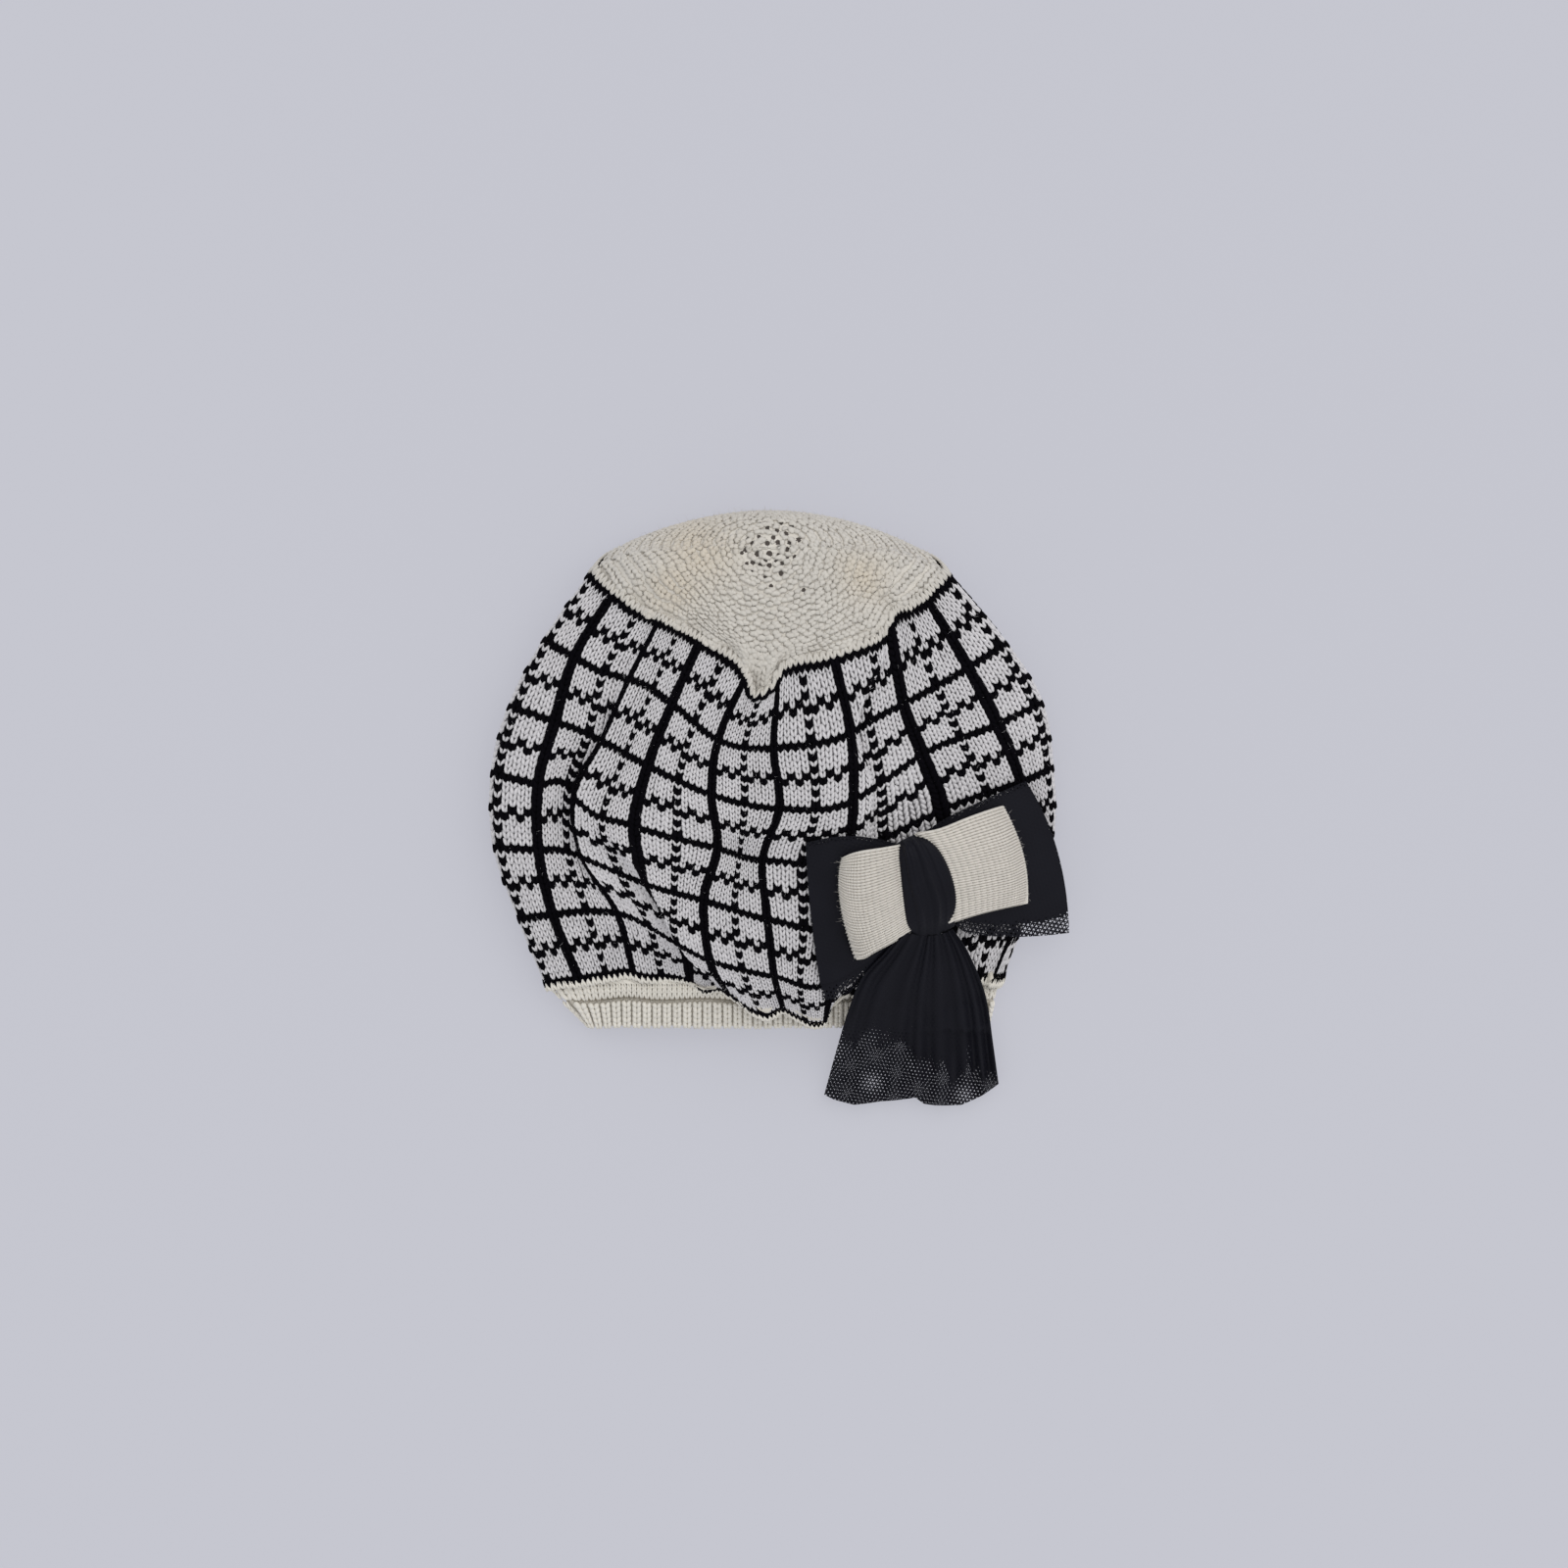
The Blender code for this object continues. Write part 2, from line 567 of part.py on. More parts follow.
def knot_side(reach, share):
    """Distance of the knot's cloth from its middle line: wider at its foot, one side bulging out."""
    width = np.interp(reach, [-KNOT_SPAN / 2, KNOT_SPAN / 2], [KNOT_FOOT_WIDTH, KNOT_TOP_WIDTH])
    bulge = KNOT_BULGE * (1 - (2 * reach / KNOT_SPAN) ** 2)
    return share * width + bulge * (share + 0.5)


def make_knot(bed):
    """The net wrap round the bow's waist: a pleated ring, open to the left and the right."""
    edge = BOW_TILT + math.pi / 2
    hollow = NET_THICKNESS + PIECE_GAP + WAIST_PUFF + 2 * PIECE_GAP
    across_steps = np.linspace(-0.5, 0.5, 2 * KNOT_PLEATS + 1)
    vertices, rings = [], []
    for wall in (KNOT_WALL, 0.0):
        for share in across_steps:
            rings.append(list(range(len(vertices), len(vertices) + KNOT_STEPS)))
            for turn in np.linspace(0.0, 2 * math.pi, KNOT_STEPS, endpoint=False):
                out = math.cos(turn)
                up = math.sin(turn)
                reach = (KNOT_SPAN / 2 - KNOT_WALL + wall) * math.copysign(abs(out) ** KNOT_ROUNDNESS, out)
                lift = (hollow / 2 + wall) * math.copysign(abs(up) ** KNOT_ROUNDNESS, up)
                on_top = wall > 0 and up > 0.1
                pleat = KNOT_PLEAT * math.cos(2 * math.pi * KNOT_PLEATS * share) if on_top else 0.0
                side = knot_side(reach, share)
                x = BOW_X + reach * math.cos(edge) + side * math.cos(BOW_TILT)
                y = BOW_Y + reach * math.sin(edge) + side * math.sin(BOW_TILT)
                vertices.append((x, y, float(bed(x, y)) + KNOT_WALL + hollow / 2 + lift + pleat))
    outer = rings[:len(across_steps)]
    inner = rings[len(across_steps):]
    faces = []
    for row in range(len(across_steps) - 1):
        faces += strip(outer[row], outer[row + 1], True)
        faces += strip(inner[row + 1], inner[row], True)
    faces += strip(inner[0], outer[0], True)
    faces += strip(outer[-1], inner[-1], True)
    return make_object("knot_wrap", vertices, faces, "black_net")


def make_tail(bed, height):
    """The net fan that hangs from the knot's foot over the band and past the hem."""
    rows = []
    for along in np.linspace(0.0, 1.0, TAIL_ROWS):
        row = []
        for across in np.linspace(-0.5, 0.5, 4 * TAIL_PLEATS + 1):
            x, y = tail_point(along, across)
            pleat = TAIL_PLEAT * (0.35 + 0.65 * along) * math.cos(2 * math.pi * TAIL_PLEATS * across)
            row.append((x, y, float(bed(x, y)) + TAIL_PLEAT + pleat))
        rows.append(row)
    return sheet_solid("net_tail", raised_clear(rows, height), TAIL_THICKNESS, "black_net")


clear_scene()
band = hat_piece("rib_band", 0, BAND_SEAM_LEVEL, "cream_knit")
body = hat_piece("checked_body", BAND_SEAM_LEVEL, CROWN_SEAM_LEVEL, "checked_knit")
crown = hat_piece("crown", CROWN_SEAM_LEVEL, CENTRE_LEVEL, "cream_knit")
hat_height = height_finder([band, body, crown])
bed = bow_bed(hat_height)
make_net_bow(bed, hat_height)
make_knit_bow(bed)
make_knot(bed)
make_tail(bed, hat_height)
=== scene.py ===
"""Knit beret with a net and knit bow, dressed for its picture.

The hat's cloth is first laid out as a smooth surface in columns and rows of stitches. Every stitch is
then a pair of yarn legs on that cloth, over a wall that closes the hat behind them.
"""

import math
from collections import namedtuple

import bpy
import numpy as np
from mathutils.bvhtree import BVHTree
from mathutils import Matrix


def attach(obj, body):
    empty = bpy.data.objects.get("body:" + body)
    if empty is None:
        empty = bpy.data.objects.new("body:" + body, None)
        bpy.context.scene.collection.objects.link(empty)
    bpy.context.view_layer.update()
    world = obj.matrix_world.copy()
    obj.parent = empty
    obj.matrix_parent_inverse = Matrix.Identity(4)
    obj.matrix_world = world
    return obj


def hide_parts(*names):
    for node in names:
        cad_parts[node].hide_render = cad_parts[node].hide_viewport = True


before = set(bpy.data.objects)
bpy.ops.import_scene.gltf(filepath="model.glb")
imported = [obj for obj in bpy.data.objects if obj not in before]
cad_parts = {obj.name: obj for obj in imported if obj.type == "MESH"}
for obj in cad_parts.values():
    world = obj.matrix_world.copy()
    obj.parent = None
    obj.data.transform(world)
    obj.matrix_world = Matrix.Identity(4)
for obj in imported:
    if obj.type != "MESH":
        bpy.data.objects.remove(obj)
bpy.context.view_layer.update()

# The photograph: metres that a pixel covers on the hat, and the pixels of the hat's middle and hem lines
PIXEL = 0.000435
MIDDLE_PX = 790.0
HEM_PY = 1049.4
PHOTO_SIZE = 1600
VIEW_PX = (800.0, 800.0)

# Sizes of the hat as it lies, in metres
LENGTH = 0.230
HEM_Y = -LENGTH / 2
HEIGHT = 0.058
BAND_DEPTH = 0.0215
BODY_LENGTH = 0.1795
CROWN_REACH = 0.029
BODY_START = HEM_Y + BAND_DEPTH
CROWN_START = BODY_START + BODY_LENGTH

CAMERA_HEIGHT = 2.4
VIEW_LEVEL = 0.020
SENSOR = 0.036


def on_photo(px, py):
    """Plan position of a pixel of the photograph, for a point at the view's own level."""
    return (px - MIDDLE_PX) * PIXEL, HEM_Y + (HEM_PY - py) * PIXEL


VIEW_X, VIEW_Y = on_photo(*VIEW_PX)


def under_camera(points):
    """Draw points towards the camera's axis by their height, so that they stay on their pixels."""
    points = np.array(points, float)
    share = (CAMERA_HEIGHT - points[..., 2]) / (CAMERA_HEIGHT - VIEW_LEVEL)
    points[..., 0] = VIEW_X + (points[..., 0] - VIEW_X) * share
    points[..., 1] = VIEW_Y + (points[..., 1] - VIEW_Y) * share
    return points


ROOM_COLOR = (0.96, 0.98, 1.0, 1.0)
ROOM_STRENGTH = 0.70
SUN_COLOR = (1.0, 0.985, 0.96)
SUN_STRENGTH = 0.95
SUN_SPREAD = 75
SUN_TURN = (-24, 20, 0)


def add_object(name, data):
    """A new object in the scene."""
    added = bpy.data.objects.new(name, data)
    bpy.context.collection.objects.link(added)
    return added


def make_camera():
    camera = bpy.data.cameras.new("camera")
    camera.sensor_width = SENSOR * 1000
    camera.lens = 1000 * SENSOR * (CAMERA_HEIGHT - VIEW_LEVEL) / (PHOTO_SIZE * PIXEL)
    holder = add_object("camera", camera)
    holder.location = (VIEW_X, VIEW_Y, CAMERA_HEIGHT)
    bpy.context.scene.camera = holder


def make_light():
    world = bpy.data.worlds.new("soft room")
    bpy.context.scene.world = world
    world.use_nodes = True
    background = world.node_tree.nodes["Background"]
    background.inputs["Color"].default_value = ROOM_COLOR
    background.inputs["Strength"].default_value = ROOM_STRENGTH
    sun = bpy.data.lights.new("window", "SUN")
    sun.energy = SUN_STRENGTH
    sun.angle = math.radians(SUN_SPREAD)
    sun.color = SUN_COLOR
    add_object("window", sun).rotation_euler = [math.radians(turn) for turn in SUN_TURN]
    bpy.context.scene.view_settings.view_transform = "Standard"


# ---------------------------------------------------------------- reading tables and curves


def smooth_read(knots, values, wanted):
    """Cubic curve through values at the knots, read at the wanted places and straight past its ends."""
    knots = np.asarray(knots, float)
    values = np.asarray(values, float)
    slopes = np.gradient(values, knots, axis=0)
    place = np.clip(np.searchsorted(knots, wanted, side="right") - 1, 0, len(knots) - 2)
    span = knots[place + 1] - knots[place]
    share = (wanted - knots[place]) / span
    inside = share.clip(0, 1)
    shape = (slice(None),) + (None,) * (values.ndim - 1)
    t, beyond, step = inside[shape], (share - inside)[shape], span[shape]
    read = (values[place] * (2 * t ** 3 - 3 * t ** 2 + 1) + values[place + 1] * (3 * t ** 2 - 2 * t ** 3)
            + slopes[place] * step * (t ** 3 - 2 * t ** 2 + t) + slopes[place + 1] * step * (t ** 3 - t ** 2))
    end_slope = np.where(beyond < 0, slopes[place], slopes[place + 1])
    return read + beyond * step * end_slope


def ease(t):
    """Soft step from 0 to 1."""
    t = np.clip(t, 0, 1)
    return t * t * (3 - 2 * t)


def bell(away, reach):
    """Soft bump that is 1 in its middle."""
    return np.exp(-(away / reach) ** 2)


def unit(vectors):
    """The vectors at length 1."""
    return vectors / np.linalg.norm(vectors, axis=-1, keepdims=True).clip(1e-12)


def walked_along(points):
    """Length of a curve up to each of its points."""
    return np.r_[0.0, np.cumsum(np.linalg.norm(np.diff(points, axis=0), axis=1))]


def evenly_read(points, shares):
    """Points of a curve at shares of its length."""
    walked = walked_along(points)
    wanted = np.asarray(shares) * walked[-1]
    return np.stack([np.interp(wanted, walked, points[:, axis]) for axis in range(3)], 1)


# ---------------------------------------------------------------- the hat's rings

SIDE_SPREAD = 0.92
FRONT_ARCH = 1.25
BACK_ROUNDNESS = 0.5
CURVE_SAMPLES = 241

# Where the hat's parts start along it and how long they are, in metres
PARTS = {"band": (HEM_Y, BAND_DEPTH), "body": (BODY_START, BODY_LENGTH), "crown": (CROWN_START, CROWN_REACH)}
# Rings from the hem to the crown's centre. left and right are in metres; side, front and back are shares of the
# part's length; edge, top and under are shares of HEIGHT; the dips say how the front's line is rounded.
Ring = namedtuple("Ring", "name part left right side front back edge top under dip_left dip_right dip_at")
RINGS = [
    Ring("hem", "band", -0.0828, 0.0954, 0.20, 0.04, 0.30, 0.13, 0.29, -0.05, 1, 1, 0),
    Ring("band_seam", "band", -0.1013, 0.1013, 1.0, 0.25, 1.45, 0.24, 0.47, -0.10, 9, 9, 0.10),
    Ring("low", "body", -0.115, 0.1138, 0.153, 0.030, 0.24, 0.30, 0.68, -0.10, 4, 4, 0.05),
    Ring("belly", "body", -0.1244, 0.1235, 0.329, 0.162, 0.41, 0.32, 0.82, -0.10, 2.6, 2.6, 0),
    Ring("widest", "body", -0.1243, 0.1249, 0.513, 0.300, 0.585, 0.34, 0.92, -0.10, 1.9, 1.9, 0),
    Ring("shoulder", "body", -0.1156, 0.1169, 0.684, 0.428, 0.755, 0.36, 0.98, -0.10, 1.8, 1.8, 0),
    Ring("upper", "body", -0.100, 0.1014, 0.839, 0.577, 0.93, 0.38, 1.00, -0.10, 1.8, 1.6, -0.02),
    Ring("crown_seam", "body", -0.080, 0.0784, 1.0, 0.740, 1.103, 0.42, 0.97, 0.03, 2.0, 1.3, -0.02),
    Ring("crown_outer", "crown", -0.0632, 0.0588, 0.36, -1.21, 0.92, 0.60, 1.00, 0.20, 1.6, 1.1, 0),
    Ring("crown_middle", "crown", -0.0435, 0.0391, 0.41, -0.67, 1.00, 0.76, 0.98, 0.48, 1.0, 0.8, 0),
    Ring("crown_inner", "crown", -0.0230, 0.0187, 0.455, -0.115, 0.88, 0.86, 0.94, 0.76, 0.6, 0.6, 0),
    Ring("centre", "crown", -0.0022, -0.0022, 0.44, 0.44, 0.44, 0.90, 0.90, 0.90, 0.5, 0.5, 0),
]
Sizes = namedtuple("Sizes", "left right side front back edge top under dip_left dip_right dip_at")
CROWN_SEAM_LEVEL = 7.0
BAND_SEAM_LEVEL = 1.0
CENTRE_LEVEL = 11.0


def in_metres(ring):
    """A ring's sizes with its side, front and back in metres along the hat."""
    start, length = PARTS[ring.part]
    return [ring.left, ring.right, *(start + share * length for share in ring[4:7]), *ring[7:]]


RING_SIZES = np.array([in_metres(ring) for ring in RINGS], float)
# Half a ring from its left to its right edge: place across it from -1 to 1, as drawn, and rise from 0 to 1
HALF_TURN = np.linspace(0.0, math.pi, CURVE_SAMPLES)
HALF_ACROSS = -np.cos(HALF_TURN)
HALF_SPREAD = np.sign(HALF_ACROSS) * np.abs(HALF_ACROSS) ** SIDE_SPREAD
HALF_RISE = np.sin(HALF_TURN).clip(0, 1)


def ring_sizes(level):
    """Sizes of the ring at a level, between the table's own ones."""
    return Sizes(*smooth_read(np.arange(len(RINGS)), RING_SIZES, np.array([level], float))[0])


def front_height(rise, sizes):
    """Height of the front from its edge, where the rise is 0, to its top."""
    return HEIGHT * (sizes.edge + (sizes.top - sizes.edge) * rise ** FRONT_ARCH)


def front_ring(level, shares):
    """Front half of a ring, from its left to its right edge."""
    sizes = ring_sizes(level)
    x = (sizes.left + sizes.right) / 2 + (sizes.right - sizes.left) / 2 * HALF_SPREAD
    from_dip = (HALF_ACROSS - sizes.dip_at) / (1 - sizes.dip_at * HALF_ACROSS)
    dip = np.where(from_dip < 0, sizes.dip_left, sizes.dip_right)
    y = sizes.side + (sizes.front - sizes.side) * (1 - from_dip ** 2).clip(0, 1) ** dip
    return evenly_read(np.stack([x, y, front_height(HALF_RISE, sizes)], 1), shares)


def back_ring(level, shares, left=None, right=None):
    """Back half of a ring, from its right edge underneath to its left edge."""
    sizes = ring_sizes(level)
    left = (sizes.left, sizes.side) if left is None else left
    right = (sizes.right, sizes.side) if right is None else right
    x, y = ((left[axis] + right[axis]) / 2 - (right[axis] - left[axis]) / 2 * HALF_SPREAD for axis in (0, 1))
    y = y + (sizes.back - sizes.side) * HALF_RISE
    z = HEIGHT * (sizes.edge + (sizes.under - sizes.edge) * HALF_RISE ** BACK_ROUNDNESS)
    return evenly_read(np.stack([x, y, np.maximum(z, 0.0)], 1), shares)


# ---------------------------------------------------------------- the body's cloth in columns and rows

# The front's first and last column; the hat has 160 columns round and the body 67 rows
FIRST_COLUMN = -5.6
LAST_COLUMN = 76.0
ROUND = 160.0
LAST_ROW = 66.0
REPEAT_COLUMNS = 10
REPEAT_ROWS = 11

# Where chart lines run on the photograph. hidden is how many columns lie folded away at the left tuck,
# the slouch fold and the side pleat; then column, pixel across and pixel down of points of that row.
ChartRow = namedtuple("ChartRow", "row hidden points")
CHART_ROWS = [
    ChartRow(0, (0.6, 0.0, 1.5), [
        (-5.6, 602, 586), (0, 624, 606), (5, 650, 625), (10, 671, 634), (20, 713, 655), (30, 760.6, 692),
        (32, 764.8, 704), (34, 770, 710), (36, 780, 708), (38, 788.7, 699.5), (40, 794, 690),
        (50, 851, 672), (55, 889, 659), (57.5, 902, 651), (60, 909, 638), (62.5, 916, 628), (66, 930, 623),
        (70, 947, 612), (73, 958, 601), (76, 971, 589)]),
    ChartRow(11, (1.7, 0.0, 2.2), [
        (-5.6, 556, 652), (0, 586, 669), (5, 616, 685), (10, 641, 691), (20, 686, 717), (30, 733, 754),
        (35, 760, 762), (40, 789, 762), (50, 868, 747), (55, 887, 735), (60, 922, 717), (70, 988, 680),
        (76, 1027, 655)]),
    ChartRow(22, (3.4, 0.0, 1.5), [
        (-5.6, 521, 720), (0, 566, 735), (5, 600, 748), (10, 612, 754), (20, 661, 780), (30, 726, 810),
        (40, 795, 824), (50, 871, 816), (55, 899, 798), (60, 941, 769), (70, 1018, 738), (76, 1064, 716)]),
    ChartRow(33, (4.4, 0.0, 1.0), [
        (-5.6, 503, 788), (0, 549, 799), (5, 580, 803), (10, 584, 809), (20, 647, 842), (30, 732, 865),
        (40, 778, 877), (50, 866, 874), (55, 902, 855), (60, 962, 826), (70, 1042, 797), (76, 1075, 782)]),
    ChartRow(44, (3.1, 2.3, 0.0), [
        (-5.6, 505, 864), (0, 549, 866), (5, 579, 868), (10, 591, 873), (20, 655, 900), (30, 718, 918),
        (40, 783, 937), (50, 862, 945), (60, 968, 890), (70, 1055, 858), (76, 1076, 850)]),
    ChartRow(55, (0.0, 6.1, 0.0), [
        (-5.6, 529, 937), (0, 563, 932), (5, 598, 929), (10, 629, 931), (30, 724, 980), (40, 790, 996),
        (50, 850, 1003), (60, 975, 935), (70, 1045, 918), (76, 1058, 905)]),
    ChartRow(66, (0.0, 2.1, 0.0), [
        (-5.6, 556, 1003), (0, 590, 998), (5, 618, 994), (9, 640, 991), (12, 658, 996), (16, 681, 996),
        (20, 704, 1001), (23, 717, 1011),
        (28, 741, 1012), (33, 765, 1030), (36, 782, 1036), (40, 799, 1030), (43, 812, 1037),
        (47, 831, 1045), (50, 843, 1041), (52, 848, 1028), (55, 862, 1014), (60, 945, 1006), (65, 1000, 996),
        (70, 1014, 998), (76, 1026, 996)]),
]

# The three folds where the cloth lies over itself. upper is 1 where the right side lies over the left.
# The path gives row, column and how strongly the fold is raised there; spread is over how many columns
# it turns back, rise and drop the heights of its upper and lower side, reach how far they fade.
Overlap = namedtuple("Overlap", "name upper spread rise drop reach path")
OVERLAPS = [
    Overlap("left_tuck", 1, 3.6, 0.0044, 0.0026, 7.0, [
        (0, 8.6, 0.35), (11, 8.6, 0.5), (22, 8.5, 0.9), (33, 8.4, 1.1), (44, 8.4, 0.8), (52, 8.4, 0.0)]),
    Overlap("slouch", 1, 5.0, 0.0058, 0.0036, 9.0, [
        (30, 14.0, 0.0), (36, 15.5, 0.3), (40, 17.0, 0.7), (44, 18.7, 1.0), (48, 20.5, 1.1), (52, 21.8, 1.1),
        (55, 22.7, 1.0), (60, 25.0, 0.9), (63, 27.0, 0.8), (66, 28.5, 0.6)]),
    Overlap("side_pleat", -1, 2.6, 0.0044, 0.0026, 6.0, [
        (0, 58.0, 0.6), (3, 57.5, 0.7), (6, 55.0, 1.0), (8, 53.5, 1.0), (22, 53.3, 0.9), (33, 53.3, 0.6),
        (40, 53.3, 0.0)]),
]

# Soft dents and swells of the front: row, column, how far they reach along and across, and their height
Dent = namedtuple("Dent", "name row column along across rise")
DENTS = [
    Dent("crown_gather", 2.0, 35.0, 9.0, 3.6, -0.0024),
    Dent("below_gather", 14.0, 36.5, 9.0, 4.0, -0.0022),
    Dent("waist_crease", 33.5, 36.0, 2.6, 6.0, -0.0022),
    Dent("waist_roll", 28.0, 35.0, 4.0, 7.0, 0.0016),
    Dent("left_swell", 30.0, 17.0, 9.0, 4.5, 0.0018),
    Dent("middle_swell", 44.0, 34.0, 9.0, 5.0, 0.0018),
    Dent("left_valley", 12.0, 13.0, 9.0, 2.6, -0.0016),
    Dent("second_valley", 6.0, 25.0, 8.0, 2.2, -0.0012),
    Dent("right_valley", 14.0, 65.0, 10.0, 2.6, -0.0012),
    Dent("hem_droop", 63.0, 44.0, 7.0, 9.0, 0.0030),
    Dent("under_bow", 42.0, 60.0, 12.0, 12.0, -0.0035),
]

# Waves of the gathers at the front's two seams: columns from one to the next, how far they swing and in how many
# rows, and their height and reach in rows at the crown's seam and at the band's
GATHER_COLUMNS = 7.3
GATHER_SWING = 0.4
SWING_ROWS = 9.0
TOP_GATHER = (0.0007, 16.0)
LOW_GATHER = (0.0006, 9.0)
EDGE_FADE = 5.0
FRONT_SAMPLES = 327
BACK_SAMPLES = 160
ROW_SAMPLES = 137

# The stitches' own surface lies this far inside the hat's outer face, and the wall behind them deeper
STITCH_DEPTH = 0.0009
WALL_DEPTH = 0.0006
CROWN_WALL_DEPTH = 0.0002
WALL_THICKNESS = 0.0014

Cloth = namedtuple("Cloth", "columns rows points normals")


def cloth_from(columns, rows, points, depth):
    """A cloth's points and outward normals; the points are drawn in by the depth."""
    normals = unit(np.cross(np.gradient(points, rows, axis=0), np.gradient(points, columns, axis=1)))
    return Cloth(columns, rows, points - normals * depth, normals)


def read_cloth(cloth, column, row):
    """Points and normals of the cloth at columns and rows, between its own ones."""
    cells, shares = [], []
    for lines, wanted in ((cloth.columns, np.asarray(column, float)), (cloth.rows, np.asarray(row, float))):
        cell = np.clip(np.searchsorted(lines, wanted, side="right") - 1, 0, len(lines) - 2)
        cells.append(cell)
        shares.append(((wanted - lines[cell]) / (lines[cell + 1] - lines[cell])).clip(-1, 2)[..., None])
    (at, down), (u, v) = cells, shares
    read = []
    for field in (cloth.points, cloth.normals):
        upper = field[down, at] * (1 - u) + field[down, at + 1] * u
        lower = field[down + 1, at] * (1 - u) + field[down + 1, at + 1] * u
        read.append(upper * (1 - v) + lower * v)
    return read[0], unit(read[1])


def overlap_path(overlap, rows):
    """Column of the fold and its strength at each row."""
    path = np.array(overlap.path, float)
    column = smooth_read(path[:, 0], path[:, 1], rows)
    strength = np.interp(rows, path[:, 0], path[:, 2])
    return column, strength


def lay_front(columns, rows):
    """Plan positions of the front's stitches from the chart lines, folded where the cloth overlaps."""
    chart_rows = np.array([line.row for line in CHART_ROWS], float)
    centres = [overlap_path(overlap, chart_rows)[0] for overlap in OVERLAPS]
    stretches = []
    for stretch in range(len(OVERLAPS) + 1):
        lines = []
        for number, line in enumerate(CHART_ROWS):
            spots = np.array(line.points, float)
            folded = sum(hidden * (spots[:, 0] > centre[number])
                         for hidden, centre in zip(line.hidden, centres))
            shown = columns - sum(line.hidden[:stretch])
            lines.append(smooth_read(spots[:, 0] - folded, spots[:, 1:], shown))
        stretches.append(smooth_read(chart_rows, np.array(lines), rows))
    laid = stretches[0]
    for number, overlap in enumerate(OVERLAPS):
        centre, _ = overlap_path(overlap, rows)
        turned = ease((columns[None, :] - centre[:, None]) / overlap.spread + 0.5)[..., None]
        laid = laid + turned * (stretches[number + 1] - stretches[number])
    x, y = on_photo(laid[..., 0], laid[..., 1])
    return x, y


def front_relief(columns, rows):
    """Height of the folds, dents and swells over the front's own arch."""
    relief = np.zeros((len(rows), len(columns)))
    for overlap in OVERLAPS:
        centre, strength = overlap_path(overlap, rows)
        away = columns - centre[:, None]
        side = overlap.upper * (2 * ease(away / overlap.spread + 0.5) - 1)
        height = np.where(side > 0, overlap.rise, overlap.drop) * side
        relief += height * strength[:, None] * bell(away, overlap.reach)
    down = rows[:, None]
    for dent in DENTS:
        relief += dent.rise * bell(down - dent.row, dent.along) * bell(columns - dent.column, dent.across)
    wave = np.cos(2 * math.pi * (columns / GATHER_COLUMNS + GATHER_SWING * np.sin(down / SWING_ROWS)))
    for row, (rise, reach) in ((0, TOP_GATHER), (LAST_ROW, LOW_GATHER)):
        relief += rise * bell(down - row, reach) * wave
    return relief * ease((columns - FIRST_COLUMN) / EDGE_FADE) * ease((LAST_COLUMN - columns) / EDGE_FADE)


def lay_body():
    """The body's cloth all the way round."""
    front_columns = np.linspace(FIRST_COLUMN, LAST_COLUMN, FRONT_SAMPLES)
    back_columns = np.linspace(LAST_COLUMN, FIRST_COLUMN + ROUND, BACK_SAMPLES)
    rows = np.linspace(-1.0, LAST_ROW + 1.0, ROW_SAMPLES)
    points = []
    for x, y, relief, row in zip(*lay_front(front_columns, rows), front_relief(front_columns, rows), rows):
        level = CROWN_SEAM_LEVEL - row / REPEAT_ROWS
        across = (x - (x[0] + x[-1]) / 2) / ((x[-1] - x[0]) / 2)
        spread = np.abs(across).clip(0, 1) ** (1 / SIDE_SPREAD)
        z = front_height(np.sqrt((1 - spread ** 2).clip(0, 1)), ring_sizes(level)) + relief
        front = under_camera(np.stack([x, y, z], 1))
        back = back_ring(level, np.linspace(0, 1, BACK_SAMPLES), front[0, :2], front[-1, :2])
        points.append(np.concatenate([front, back[1:]]))
    columns = np.concatenate([front_columns, back_columns[1:]])
    return cloth_from(columns, rows, np.array(points), STITCH_DEPTH)


def ring_shares(columns):
    """Which columns are in front, and shares of the front's and of the back's length where columns stand."""
    front = columns <= LAST_COLUMN
    return (front, (columns[front] - FIRST_COLUMN) / (LAST_COLUMN - FIRST_COLUMN),
            (columns[~front] - LAST_COLUMN) / (FIRST_COLUMN + ROUND - LAST_COLUMN))


def outer_edge(body, row):
    """The body's outer face along one of its rows, and its normals there."""
    at = np.argmin(np.abs(body.rows - row))
    return body.points[at] + body.normals[at] * STITCH_DEPTH, body.normals[at]


# The crown's ridges, counted from its seam to its centre, and the band's stitch rows after the body's last
CROWN_RIDGES = 15
BAND_ROWS = 7.8
CROWN_SAMPLES = 90
CENTRE_GAP = 0.04
CROWN_JOINT_REACH = 1.7
# Gathers of the crown: height, reach in ridges, and columns from one to the next
CROWN_GATHER = 0.0011
CROWN_GATHER_REACH = 4.5
CROWN_GATHER_COLUMNS = 7.4
# The crown's valley over the notch: its column, its reach in columns and in ridges, and its depth
VALLEY_COLUMN = 35.0
VALLEY_COLUMNS = 5.0
VALLEY_RIDGES = 5.2
VALLEY_DEPTH = 0.0016


